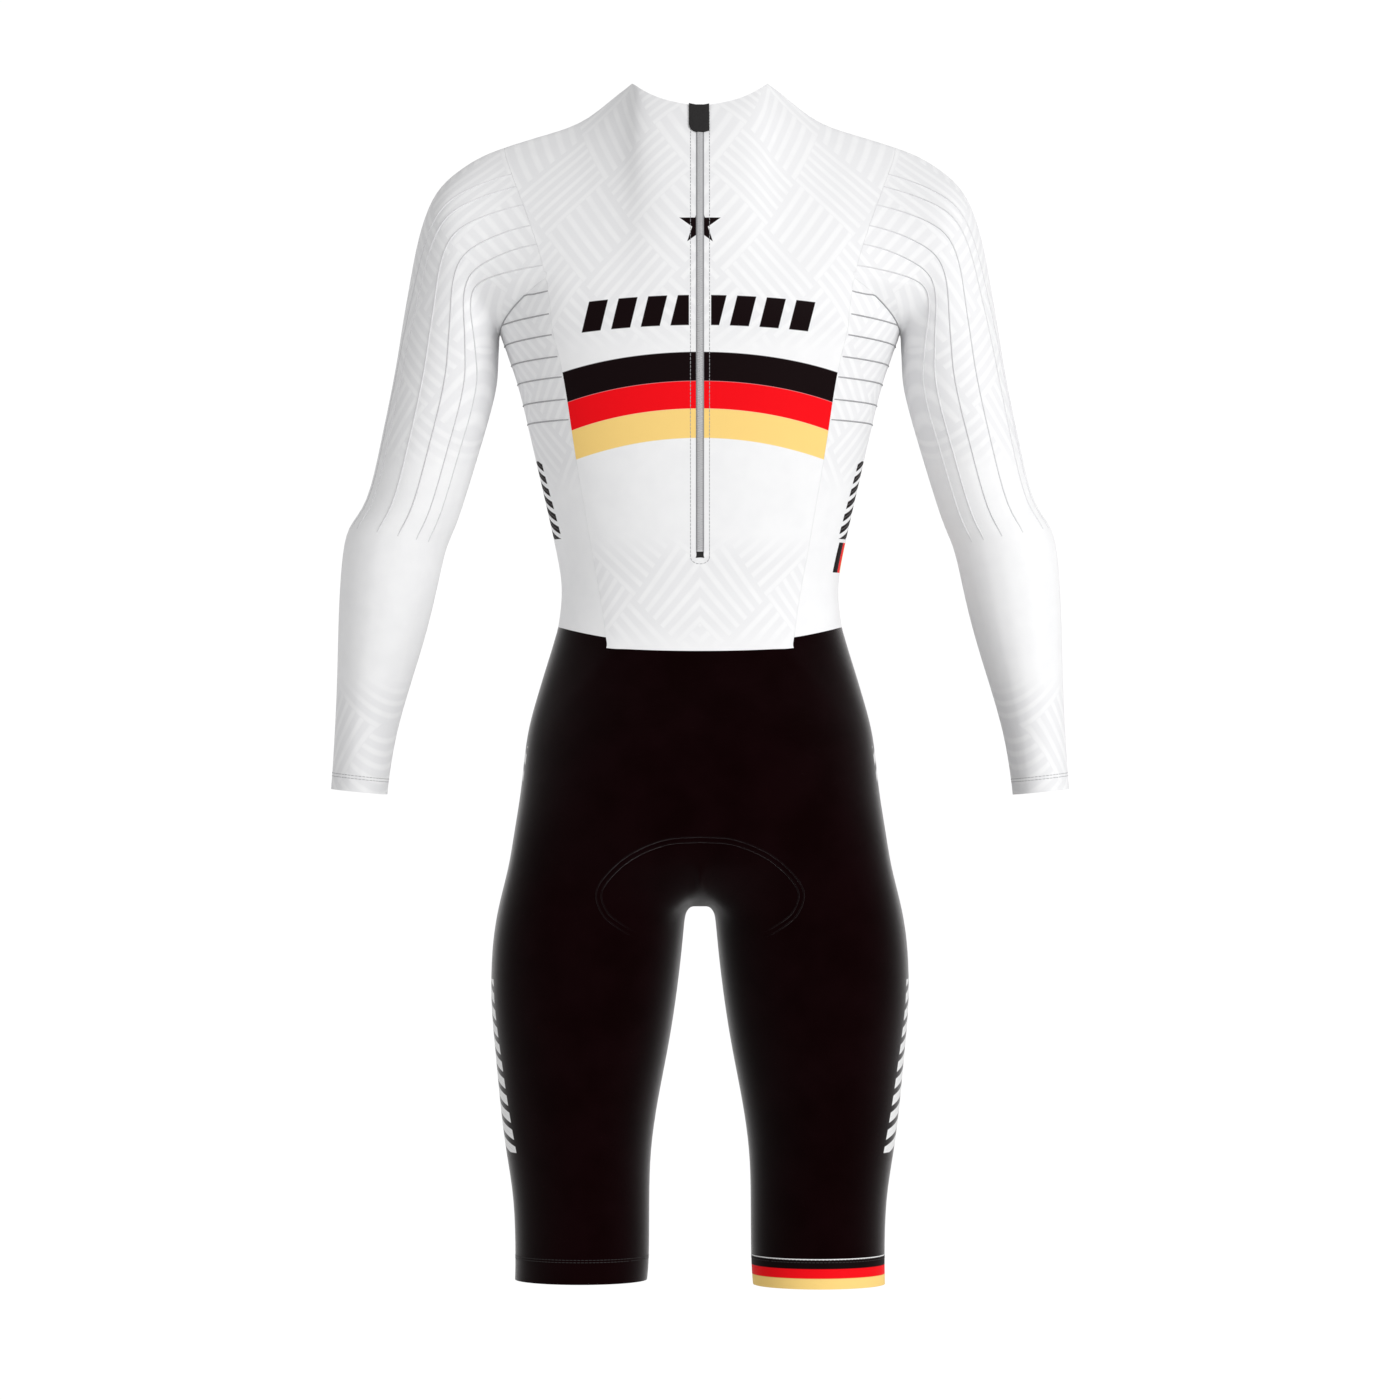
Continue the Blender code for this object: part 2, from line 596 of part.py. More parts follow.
def build_shorts(skin):
    """Shorts from the foot of the top to the leg hems, with the coloured band on the right leg."""
    hips = hip_rows()
    legs = leg_rows(hips)
    half_column = HALF_COLUMNS / 2
    inseam = HALF_COLUMNS + CROTCH_COLUMNS / 2

    def hip_piece(row, column, way):
        return "shorts_back" if column < half_column else "shorts_front"

    def leg_piece(row, column, way):
        if way < 0 and row >= len(legs) - 2:
            return "hem_band_right"
        return "shorts_front" if half_column <= column < inseam else "shorts_back"

    for way in (1, -1):
        rows = legs.copy()
        if way > 0:
            rows[-1, :, 2] += LEFT_HEM_RISE
        skin.add_grid(hips, hip_piece, way)
        skin.add_grid(rows, leg_piece, way)


def facet_line(skin, edge, next_edge, x):
    """Line of points at x from the middle on the back panel's facets, with its normals."""
    near = np.array([skin.normals[skin.add_point(point)] for point in edge])
    far = np.array([skin.normals[skin.add_point(point)] for point in next_edge])
    mirror = np.array([-1.0, 1.0, 1.0])
    if abs(x) <= ZIP_HALF:
        share = (ZIP_HALF - x) / (2 * ZIP_HALF)
        points = edge + (edge * mirror - edge) * share
        normals = near + (near * mirror - near) * share
    else:
        share = ((abs(x) - ZIP_HALF) / (next_edge[:, 0] - ZIP_HALF))[:, None]
        points = edge + (next_edge - edge) * share
        normals = near + (far - near) * share
        if x < 0:
            points = points * mirror
            normals = normals * mirror
    return points, normals / np.linalg.norm(normals, axis=1)[:, None]


def slab(name, points, normals, outer, thickness, material):
    """Closed slab over a grid of points, its outer side moved out by outer."""
    shell = bmesh.new()
    sheets = [[[shell.verts.new(point + normal * height) for point, normal in zip(row, row_normals)]
               for row, row_normals in zip(points, normals)] for height in (outer, outer - thickness)]
    top, bottom = sheets
    rows = len(top)
    columns = len(top[0])
    for row in range(rows - 1):
        for column in range(columns - 1):
            corners = ((row, column), (row, column + 1), (row + 1, column + 1), (row + 1, column))
            shell.faces.new([top[r][c] for r, c in corners])
            shell.faces.new([bottom[r][c] for r, c in reversed(corners)])
    rim = [(0, column) for column in range(columns)]
    rim += [(row, columns - 1) for row in range(1, rows)]
    rim += [(rows - 1, column) for column in range(columns - 2, -1, -1)]
    rim += [(row, 0) for row in range(rows - 2, 0, -1)]
    for place, (r, c) in enumerate(rim):
        before_r, before_c = rim[place - 1]
        shell.faces.new([top[r][c], top[before_r][before_c], bottom[before_r][before_c], bottom[r][c]])
    bmesh.ops.recalc_face_normals(shell, faces=shell.faces)
    return add_object(name, shell, material)


def build_zip_backing(skin, back, white, black):
    """The two tapes behind the zip, and the tab over its top."""
    drops = SLEEVE_SEAM_ROWS + UNDERARM_ROWS[1:-1] + TRUNK_ROWS
    end = drops.index(STOP_END) + 1
    edge = back[:end, 0]
    next_edge = back[:end, 1]
    for name, way in (("zip_tape_left", 1), ("zip_tape_right", -1)):
        lines = [facet_line(skin, edge, next_edge, way * x) for x in (TAPE_GAP / 2, ZIP_HALF, TAPE_HALF)]
        points = np.stack([line[0] for line in lines], axis=1)
        normals = np.stack([line[1] for line in lines], axis=1)
        slab(name, points, normals, -WALL - FACET_GAP, TAPE_THICKNESS, white)
    corner_turns = np.radians((0, 30, 60, 90))
    corner_heights = GARAGE_FOOT_Z + GARAGE_CORNER * (1 - np.sin(corner_turns))
    corner_levels = np.interp(-corner_heights, -edge[:, 2], np.arange(end))
    levels = [0.0, 1.0] + list(corner_levels)
    widths = [GARAGE_LEFT] * 2 + list(GARAGE_LEFT - GARAGE_CORNER * (1 - np.cos(corner_turns)))
    points = []
    normals = []
    for level, width in zip(levels, widths):
        row = min(int(level), end - 2)
        share = level - row
        line_points = []
        line_normals = []
        for x in (width, ZIP_HALF, -ZIP_HALF, GARAGE_RIGHT):
            near, turned = facet_line(skin, edge, next_edge, x)
            line_points.append(near[row] + (near[row + 1] - near[row]) * share)
            line_normals.append(turned[row] + (turned[row + 1] - turned[row]) * share)
        points.append(line_points)
        normals.append(line_normals)
    slab("zip_garage", points, normals, FACET_GAP + GARAGE_THICKNESS, GARAGE_THICKNESS, black)


def main():
    for item in list(bpy.data.objects):
        bpy.data.objects.remove(item, do_unlink=True)
    collection = bpy.data.collections.new("speed_suit")
    bpy.context.scene.collection.children.link(collection)
    white = make_material("white_lycra", (0.85, 0.85, 0.86), 0.75)
    black = make_material("black_lycra", (0.015, 0.012, 0.013), 0.8)
    zip_grey = make_material("zip_coil", (0.45, 0.45, 0.46), 0.5)
    band = make_material("hem_band", (0.75, 0.02, 0.03), 0.8)

    skin = Skin()
    back = build_top(skin)
    build_shorts(skin)
    skin.finish()
    for name in ("front_panel", "back_panel", "side_panel_left", "side_panel_right", "sleeve_left",
                 "sleeve_right"):
        skin.solid(name, white)
    for name in ("shorts_front", "shorts_back"):
        skin.solid(name, black)
    skin.solid("hem_band_right", band)
    skin.solid("zip_chain", zip_grey)
    skin.solid("zip_stop", black)
    build_zip_backing(skin, back, white, black)


main()
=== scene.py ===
"""Looks of the cycling speed suit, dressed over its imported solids.

Metres, +Z up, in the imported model's frame: front to -Y, back with the zip to +Y, the wearer's left to +X.
The skin is worked out as it is for the solids, then made finer all at once and cut into the same pieces.
"""
import bpy
import bmesh
import numpy as np
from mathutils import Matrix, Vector
from mathutils.bvhtree import BVHTree


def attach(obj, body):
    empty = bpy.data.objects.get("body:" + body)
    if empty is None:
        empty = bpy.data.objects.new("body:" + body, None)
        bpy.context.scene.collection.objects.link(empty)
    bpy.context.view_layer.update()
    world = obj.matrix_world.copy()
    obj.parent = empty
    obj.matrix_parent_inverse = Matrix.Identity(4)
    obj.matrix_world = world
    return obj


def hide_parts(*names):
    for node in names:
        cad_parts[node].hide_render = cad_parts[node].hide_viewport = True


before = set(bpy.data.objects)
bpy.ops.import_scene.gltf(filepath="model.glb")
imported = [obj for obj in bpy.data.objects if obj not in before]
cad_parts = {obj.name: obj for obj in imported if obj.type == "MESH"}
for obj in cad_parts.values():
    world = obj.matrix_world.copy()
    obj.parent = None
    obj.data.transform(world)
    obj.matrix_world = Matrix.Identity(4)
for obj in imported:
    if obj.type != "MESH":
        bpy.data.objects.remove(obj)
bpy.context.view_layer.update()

MM = 0.001
WALL = 1.2 * MM
SEAM_GAP = 0.12 * MM
RIB_HEIGHT = 0.8 * MM

# Trunk: drop below the origin, half width, back depth and front depth, in millimetres, and squareness
TRUNK = {
    "drop": (120, 150, 182, 221, 275, 310, 345, 381, 400, 416, 441, 455, 470, 487, 505, 540, 576, 608,
             640, 682),
    "half": (199, 188, 177, 163, 149.5, 141.5, 133.5, 126, 123, 123, 126, 130, 134.2, 139.8, 144.8, 153.4,
             157.1, 161.9, 167, 177.6),
    "back": (115, 116, 114, 109, 100, 93, 86, 80, 77.5, 77, 80, 83, 88, 94, 101, 113, 120, 121,
             115, 106),
    "front": (-107, -109, -109, -107, -103, -101, -99, -98, -97, -97, -97, -98, -98, -99, -99, -99, -98, -96,
              -93, -90),
    "power": (2.3, 2.3, 2.3, 2.3, 2.3, 2.3, 2.3, 2.3, 2.3, 2.3, 2.3, 2.3, 2.3, 2.3, 2.3, 2.35, 2.5, 2.75,
              3.0, 3.0),
}
# Long seams between the back or front panel and the side panel: drop and distance from the middle
LONG_SEAM = {
    "drop": (120, 150, 182, 209, 290, 370, 452, 480),
    "x": (138, 133, 128.5, 122, 109, 95.5, 82, 80),
}
# Arm: outer point, inner point, centre depth and half depth of each ring, from the shoulder cap to the cuff
ARM = {
    "outer_x": (237, 257, 268.5, 283, 295.5, 311, 317.5, 320.5, 322, 324, 326.5, 328),
    "outer_drop": (62, 136, 205, 277, 328, 352, 385, 430, 480, 525, 565, 584),
    "inner_x": (177.6, 178.5, 181, 197.5, 214, 224, 231.5, 241.5, 256, 269, 275.8, 278),
    "inner_drop": (187, 202, 231, 291, 344, 368, 398, 440, 488, 533, 571, 589),
    "middle": (-2, -2, -2, -2, -3, -4, -6, -9, -13, -17, -20, -21),
    "depth": (63, 59, 53.5, 48, 45.5, 45, 44.5, 42, 38, 34, 31.5, 31),
}
# Sleeve columns of one half: angle round the arm at the shoulder cap, and further down the arm
CAP_RINGS = 2
SLEEVE_SPLITS = (3, 2, 2, 2, 1, 1, 1, 1, 1, 1, 1, 1)
SLEEVE_TURNS = {
    "cap": (0, 13, 27, 40, 51, 59, 67, 76, 85, 92, 99, 104, 108, 111, 114, 127, 146, 180),
    "arm": (0, 7, 13, 20, 35, 51, 67, 79, 92, 103, 114, 122, 130, 136, 142, 155, 167, 180),
}
# Leg: drop, centre from the middle, half width, centre depth, half depth and squareness of each ring
LEG = {
    "drop": (700, 727, 771, 815, 859, 904, 948, 996, 1022),
    "centre": (97, 100, 103.2, 105, 107.2, 107.6, 105.1, 104.5, 105.4),
    "half": (83.3, 83.7, 81.5, 76.2, 70, 64.2, 60.2, 59.2, 58.5),
    "middle": (4, 3, 1, 0, -2, -3, -3, -2, 0),
    "depth": (94, 92, 88, 83, 77, 71, 66, 63, 62),
    "power": (2.7, 2.6, 2.4, 2.2, 2.1, 2.0, 2.0, 2.0, 2.0),
}

# Neck opening and shoulder line
NECK_HALF = 60.7 * MM
NECK_PEAK_Z = 40.8 * MM
NECK_SIDE_Y = -5 * MM
NECK_BACK = (46 * MM, 17.6 * MM)
NECK_FRONT = (-62 * MM, -25 * MM)
SHOULDER_POINT = (173.7 * MM, -8 * MM, -15 * MM)
SHOULDER_SLOPES = (-124 * MM, -45 * MM)
NECK_CURVE = 1.95

# Slopes of the columns above the joining row, as (x, y, z): at the row, at the centre, beside the neck and at
# the head of the sleeve; a slope given once is turned over for the front
JOIN_SLOPES = {"out": 4 * MM, "back": 22 * MM, "front": -6 * MM, "up": 190 * MM}
CENTRE_BACK_SLOPE = (0.0, -95 * MM, 105 * MM)
CENTRE_FRONT_SLOPE = (0.0, 70 * MM, 90 * MM)
NECK_SLOPE = (-42 * MM, 105 * MM, 60 * MM)
HEAD_SLOPE = (0.0, 112 * MM, 58 * MM)

# Rows of skin, as drops of the long back seam in millimetres; ribs lie on the rows named in the rib tuples
SLEEVE_SEAM_ROWS = (15, 21, 30, 41, 53, 61.5, 70, 79.5, 89, 97.5, 106, 115.5, 125, 130.5, 136)
SLEEVE_RIBS = (41, 53, 70, 89, 106, 125)
UNDERARM_ROWS = (136, 147, 157, 167.5, 176.5)
JOIN_DROP = 176.5
TRUNK_ROWS = (176.5, 185.7, 195, 204.7, 213.5, 222.4, 232, 241.9, 250.5, 259.6, 269, 290, 315, 337, 358,
              375.7, 380.1, 395, 412, 431, 450.5, 459.4)
HIP_ROWS = (459.4, 470, 486, 505, 530, 558, 586, 614, 640)
WAIST_ROW = 450.5
NOTCH_ROW = 459.4
PANEL_COLUMNS = 6
HALF_COLUMNS = 3 * PANEL_COLUMNS
CROTCH_COLUMNS = 6

# Zip: half width of the chain, and the drops where the chain and its bottom stop end
ZIP_HALF = 3.5 * MM
CHAIN_END = 375.7
STOP_END = 380.1

# Underarm and waist lines
ARMPIT_DROP = 181.6
UNDERARM_END = 269
UNDERARM_EASE = 3
UNDERARM_CURVE = 1.6
UNDERARM_FADE = 1.5
SEAM_LEAN = 3
WAIST_SIDE_RISE = 9.9
WAIST_CENTRE_DIP = 2.6
WAIST_REACH = 45.0
WAIST_MIDDLE = WAIST_ROW + 4

# Crotch and legs; the lean is the share of the straight line in the slope at the fold under the seat
CROTCH_DROP = 687.5
CROTCH_ARCH = 22 * MM
CROTCH_CURVE = 0.8
FOLD_LEAN = 0.6
FOLD_FADE = 0.3
EVEN_ROW = 4
INSEAM_TURN = np.pi / 4
LEG_SPLITS = (4, 1, 1, 1, 1, 1, 1, 1, 1)
LEFT_HEM_RISE = 4 * MM

# Ribs and stitches: pairs of distances, sideways and outwards
RIB_PROFILE = ((-0.75 * MM, -0.3 * MM), (-0.5 * MM, 0.45 * MM), (0.0, RIB_HEIGHT), (0.5 * MM, 0.45 * MM),
               (0.75 * MM, -0.3 * MM))
RIB_FADE = 8 * MM
SIDE_RIB_DROPS = (147, 167.5, 185.7, 204.7, 222.4, 241.9, 259.6)
SIDE_RIB_SINKS = (12, 9, 7, 5, 4, 3, 2)
SIDE_RIB_SPAN = (0.01, 0.99)
SIDE_RIB_POINTS = 60
SLEEVE_RIB_ROWS = 12
THREAD_PROFILE = ((-0.3 * MM, -0.1 * MM), (-0.2 * MM, 0.2 * MM), (0.2 * MM, 0.2 * MM), (0.3 * MM, -0.1 * MM))
RIDGE_PROFILE = ((-0.8 * MM, -0.3 * MM), (-0.4 * MM, 0.45 * MM), (0.4 * MM, 0.45 * MM),
                 (0.8 * MM, -0.3 * MM))
BINDING_PROFILE = ((-3.2 * MM, -1.25 * MM), (3.2 * MM, -1.25 * MM), (3.2 * MM, -1.7 * MM),
                   (-3.2 * MM, -1.7 * MM))
BINDING_SHORTEST = 3
END_HEIGHT = 0.1
STITCH_STEPS = 4
STITCH_END = 0.4
STITCH_PITCH = 3.4 * MM
STITCH_LENGTH = 2.4 * MM
ZIP_STITCH_X = 8.3 * MM
ZIP_STITCH_TOP = 13 * MM
ZIP_STITCH_FOOT = -380 * MM
ZIP_STITCH_CURVE = 6 * MM
ZIP_STITCH_POINTS = 180
ZIP_STITCH_TURN_POINTS = 13
HEM_FINENESS = 5
HEM_SHARES = (0.62, 0.76)
LEG_HEM_SHARES = (0.9, 0.98)

# Outline of the seat pad, as distances from the middle and heights
PAD_LINE = ((0.0, -0.6237), (0.03, -0.6262), (0.06, -0.6385), (0.082, -0.6575), (0.0905, -0.6745),
            (0.084, -0.693), (0.068, -0.706), (0.053, -0.7135))
PAD_GAP = 4.5 * MM
PAD_POINTS = 70
PAD_FADE = 30 * MM

# Zip chain: pitch and size of its coil, and the rounded loop of wire that it is made of
COIL_PITCH = 1.5 * MM
COIL_TOP = -5 * MM
COIL_FOOT = -374.5 * MM
COIL_REACH = 2.9 * MM
COIL_HEIGHT = 0.7 * MM
COIL_LIFT = 0.1 * MM
COIL_OVERLAP = 0.25
COIL_WIRE = 0.36
COIL_SHARES = (0.0, 0.12, 0.88, 1.0)
COIL_END_SIZE = 0.55
COIL_PROFILE = ((-1.0, -0.3), (-0.7, 0.6), (0.0, 1.0), (0.7, 0.6), (1.0, -0.3))
# Grey of the coil, a darker grey painted towards the coil's edges as shade, and the distances from the middle
# over which that painted shade comes in
COIL_GREY = (0.57, 0.57, 0.58)
COIL_EDGE_PAINTED_SHADE = (0.3, 0.3, 0.31)
COIL_EDGE_X = (1.9 * MM, 2.6 * MM)

# Points that a seam is looked up on, subdivision of the skin, and edges of the finished meshes
LEVEL_POINTS = 400
REFINE_LEVELS = 2
REFINE_TURNS = 3
SAME_POINT = 1e-6
SMOOTH_ANGLE = np.radians(50)
MERGE_REACH = 0.01 * MM
FLAT_ANGLE = np.radians(0.2)
BEVEL_ANGLE = np.radians(40)
BEVEL_STEPS = 3
TAPE_BEVEL = 0.2 * MM
TAB_BEVEL = 0.3 * MM

# Whites of the cloth
WHITE = (0.86, 0.86, 0.865)
WHITE_SHADE = (0.835, 0.835, 0.842)
TONAL_GREY = (0.79, 0.79, 0.8)

# Finishes of small parts and ribs: colour, its shade, roughness and scale of the grain
FINISHES = {
    "white_thread": ((0.36, 0.36, 0.37), (0.28, 0.28, 0.29), 0.7, 900.0),
    "black_thread": ((0.03, 0.028, 0.028), (0.02, 0.018, 0.018), 0.7, 900.0),
    # The two rib greys are darker than the white knit round them: painted shade along each raised rib, on top
    # of the shading that its own relief gets
    "sleeve_rib_painted_shade": ((0.72, 0.72, 0.73), (0.66, 0.66, 0.67), 0.7, 300.0),
    "side_rib_painted_shade": ((0.4, 0.4, 0.41), (0.34, 0.34, 0.35), 0.7, 300.0),
    "zip_tape_weave": ((0.72, 0.72, 0.73), (0.62, 0.62, 0.63), 0.8, 1100.0),
    "tab_knit": ((0.02, 0.019, 0.019), (0.012, 0.011, 0.011), 0.75, 800.0),
}

# Blacks and print colours, the knit, and where each print lies
BLACK = (0.0034, 0.0002, 0.0004)
BLACK_SHADE = (0.005, 0.0008, 0.0012)
PRINT_BLACK = (0.005, 0.001, 0.0015)
PRINT_RED = (0.87, 0.003, 0.008)
PRINT_GOLD = (0.92, 0.64, 0.21)
PRINT_WHITE = (0.8, 0.8, 0.8)
KNIT_PITCH = 1.1 * MM
KNIT_COURSES = 1.3
PARQUET_EDGE = (0.75, -0.25)
PARQUET_TURN = np.radians(40)
PARQUET_BLOCK = 0.0648
PARQUET_DEPTH = 0.7
STRIPE_PERIOD = 0.0108
PLAIN_ZONES = ((-0.19, 0.1),)
SLEEVE_ZONES = ((-0.29, 0.1), (-0.6, -0.496))
SIDE_ZONES = ((-0.31, 0.0),)
BACK_ZONES = ((-0.19, 0.1), (-0.45, -0.372))
ZONE_EDGE = 0.012
PRINT_EDGE = 0.0002
CLOUD_SCALE = 25.0
CLOUD_RANGE = (0.35, 0.65)
GRAIN_RANGE = (0.3, 0.7)
FLAG_BEND_Z = (-0.2, -0.285)
FLAG_BEND = (1.035, 1.52)
FLAG_BANDS = ((-0.2273, -0.2022, PRINT_BLACK), (-0.2513, -0.2273, PRINT_RED), (-0.2766, -0.2513, PRINT_GOLD))
BARS_BEND = 0.55
BARS_LEAN = 0.25
BARS_START = 0.0531
BARS_PITCH = 0.0258
BARS_WIDTH = 0.0166
BARS_Z = (-0.1791, -0.1529)
BARS_X = (-0.14, 0.06)
BARS_CLEAR = 0.0095
STAR_Z = -0.0905
STAR_RADIUS = 0.019
STAR_TURN = 2 * np.pi / 5
STAR_EDGE = STAR_RADIUS * np.cos(STAR_TURN)
SIDE_SLANT = 0.3
SIDE_BARS = (0.0055, 0.0022, 0.0056)
SIDE_BARS_Z = (-0.363, -0.294)
SIDE_BARS_Y = (-0.028, 0.03)
SIDE_FLAG_Z = (-0.3925, -0.366)
SIDE_FLAG_Y = (-0.012, 0.026)
THIGH_BARS = (0.0075, 0.003, 0.0076)
THIGH_BARS_X = (0.13, 0.1301)
THIGH_BARS_Z = ((-0.581, -0.546), (-0.904, -0.751))
THIGH_BARS_Y = (-0.03, 0.035)
HEM_RINGS = ((-0.9965, -0.9905, PRINT_WHITE), (-1.0127, -1.0043, PRINT_RED), (-1.03, -1.0127, PRINT_GOLD))

# Camera, stage and its greys, in metres
VIEW_DISTANCE = 6.0
VIEW_HEIGHT = -0.505
VIEW_WIDTH = 1.2404
SENSOR = 36.0
FLOOR_Z = -2.2
FLOOR_SIZE = 20.0
BACKDROP_Y = -9.0
BACKDROP_SIZE = 12.0
ROOM_LIGHT = 0.54
VIEW_END = 50.0
FLOOR_GREY = (0.9, 0.9, 0.9)
FLOOR_SHADE = (0.88, 0.88, 0.88)
LAMPS = (
    ("key", (-3.5, 3.7, 1.3), 3.0, 166.0),
    ("fill", (3.4, 3.6, 1.0), 3.0, 24.0),
)


def smooth(value, stations, amounts):
    """Cubic through a table, with each slope taken from its neighbours."""
    stations = np.asarray(stations, float)
    amounts = np.asarray(amounts, float)
    slopes = np.gradient(amounts, stations)
    value = np.asarray(value, float)
    index = np.clip(np.searchsorted(stations, value) - 1, 0, len(stations) - 2)
    span = stations[index + 1] - stations[index]
    u = (value - stations[index]) / span
    return ((2 * u**3 - 3 * u**2 + 1) * amounts[index] + (u**3 - 2 * u**2 + u) * span * slopes[index]
            + (3 * u**2 - 2 * u**3) * amounts[index + 1] + (u**3 - u**2) * span * slopes[index + 1])


def hermite(start, end, start_slope, end_slope, u):
    """Cubic between two points; u is a number or a column of numbers."""
    u = np.asarray(u, float)[..., None]
    return ((2 * u**3 - 3 * u**2 + 1) * start + (u**3 - 2 * u**2 + u) * start_slope
            + (3 * u**2 - 2 * u**3) * end + (u**3 - u**2) * end_slope)


def loft(stations, splits, first_slope):
    """Rows through rings of points, each span split in so many, leaving the first ring along first_slope."""
    stations = np.asarray(stations)
    steps = np.linalg.norm(np.diff(stations, axis=0), axis=2).mean(axis=1)
    along = np.concatenate([[0.0], np.cumsum(steps)])
    slopes = np.gradient(stations, along, axis=0)
    slopes[0] = first_slope / steps[0]
    rows = [stations[0]]
    for index, split in enumerate(splits):
        for step in range(1, split + 1):
            rows.append(hermite(stations[index], stations[index + 1], slopes[index] * steps[index],
                                slopes[index + 1] * steps[index], step / split))
    return np.array(rows)


def trunk_point(drop, angle):
    """Point of the trunk's skin; the angle runs from centre back by the left side to centre front."""
    half = smooth(drop, TRUNK["drop"], TRUNK["half"]) * MM
    back = smooth(drop, TRUNK["drop"], TRUNK["back"]) * MM
    front = smooth(drop, TRUNK["drop"], TRUNK["front"]) * MM
    middle = (back + front) / 2
    depth = np.where(np.cos(angle) > 0, back, front) - middle
    power = smooth(drop, TRUNK["drop"], TRUNK["power"])
    x = half * np.abs(np.sin(angle)) ** (2 / power)
    y = middle + depth * np.abs(np.cos(angle)) ** (2 / power)
    return np.stack(np.broadcast_arrays(x, y, -drop * MM), axis=-1)


def angle_at(drop, x):
    """Angle at which the trunk's section is x from the middle."""
    half = smooth(drop, TRUNK["drop"], TRUNK["half"]) * MM
    power = smooth(drop, TRUNK["drop"], TRUNK["power"])
    return np.arcsin(np.clip(x / half, 0, 1) ** (power / 2))


def seam_x(drop):
    """Distance of the long seams from the middle."""
    return smooth(drop, LONG_SEAM["drop"], LONG_SEAM["x"]) * MM


def zip_x(drop):
    """Distance of the back panel's first column from the middle: half the zip, then none below it."""
    return ZIP_HALF if drop <= STOP_END else 0.0


def neck_point(turn, rim):
    """Point of the neck's rim; turn is 0 at the centre and a right angle at the side of the neck."""
    rim_y, rim_z = rim
    y = NECK_SIDE_Y + (rim_y - NECK_SIDE_Y) * np.cos(turn)
    z = NECK_PEAK_Z + (rim_z - NECK_PEAK_Z) * np.cos(turn) ** NECK_CURVE
    return np.array([NECK_HALF * np.sin(turn), y, z])


def shoulder_point(share):
    """Point of the shoulder line, from the side of the neck (0) to the head of the sleeve (1)."""
    start = neck_point(np.pi / 2, NECK_BACK)
    end = np.array(SHOULDER_POINT)
    slopes = [np.array([end[0] - start[0], 0, slope]) for slope in SHOULDER_SLOPES]
    return hermite(start, end, slopes[0], slopes[1], share)


def upper_column(share, is_back, u):
    """Line of the back or front panel from the joining row (u = 0) to the neck or shoulder (u = 1)."""
    facing = 1 if is_back else -1
    first_x = ZIP_HALF if is_back else 0.0
    x = first_x + (seam_x(JOIN_DROP) - first_x) * share
    angle = angle_at(JOIN_DROP, x)
    start = trunk_point(JOIN_DROP, angle if is_back else np.pi - angle)
    leaning = JOIN_SLOPES["back"] if is_back else JOIN_SLOPES["front"]
    start_slope = np.array([JOIN_SLOPES["out"] * share, leaning, JOIN_SLOPES["up"]])
    centre_slope = np.array(CENTRE_BACK_SLOPE if is_back else CENTRE_FRONT_SLOPE)
    neck_slope = np.array(NECK_SLOPE) * (1, -facing, 1)
    head_slope = np.array(HEAD_SLOPE) * (1, -facing, 1)
    if share <= 0.5:
        rim = NECK_BACK if is_back else NECK_FRONT
        first_turn = np.arcsin(first_x / NECK_HALF)
        end = neck_point(first_turn + (np.pi / 2 - first_turn) * share * 2, rim)
        end_slope = centre_slope + (neck_slope - centre_slope) * share * 2
    else:
        end = shoulder_point(share * 2 - 1)
        end_slope = neck_slope + (head_slope - neck_slope) * (share * 2 - 1)
    return hermite(start, end, start_slope, end_slope, u)


def upper_levels(drops):
    """Heights u at which the long back seam passes the given drops."""
    fine = np.linspace(0, 1, LEVEL_POINTS)
    line = upper_column(1.0, True, fine)
    return np.interp(-np.asarray(drops) * MM, line[:, 2], fine)


def upper_panel(is_back, drops):
    """Grid of the back or front panel above the joining row, from the neck down."""
    levels = upper_levels(drops)
    columns = [upper_column(index / PANEL_COLUMNS, is_back, levels) for index in range(PANEL_COLUMNS + 1)]
    return np.stack(columns, axis=1)


def row_drop(drop, rise):
    """Drop of a row where the waist line rises or dips away from the long seam."""
    return drop - rise * np.exp(-((drop - WAIST_MIDDLE) / WAIST_REACH) ** 2)


def underarm_drop(drop, across):
    """Drop of a side panel row, which sinks to the armpit between its two seams."""
    sink = (ARMPIT_DROP - UNDERARM_ROWS[0]) * (1 - abs(1 - 2 * across) ** UNDERARM_CURVE)
    share = np.clip((UNDERARM_END - drop) / (UNDERARM_END - UNDERARM_ROWS[0]), 0, 1)
    return drop + sink * share ** UNDERARM_FADE


def side_point(drop, across, seam_back, seam_front):
    """Point of the side panel; above the joining row it leans to the seam points given."""
    sunk = underarm_drop(drop, across)
    local = row_drop(sunk, WAIST_SIDE_RISE * np.sin(np.pi * across))
    edge = angle_at(local, seam_x(local))
    point = trunk_point(local, edge + (np.pi - 2 * edge) * across)
    if drop < JOIN_DROP:
        own_edge = angle_at(drop, seam_x(drop))
        back_lean = seam_back - trunk_point(drop, own_edge)
        front_lean = seam_front - trunk_point(drop, np.pi - own_edge)
        point = point + back_lean * (1 - across) ** SEAM_LEAN + front_lean * across ** SEAM_LEAN
    return point


def panel_row(drop, is_back):
    """Row of the back or front panel below the joining row."""
    row = []
    for index in range(PANEL_COLUMNS + 1):
        share = index / PANEL_COLUMNS
        local = row_drop(drop, -WAIST_CENTRE_DIP * (1 - share**2))
        first_x = zip_x(drop) if is_back else 0.0
        angle = angle_at(local, first_x + (seam_x(drop) - first_x) * share)
        row.append(trunk_point(local, angle if is_back else np.pi - angle))
    return row


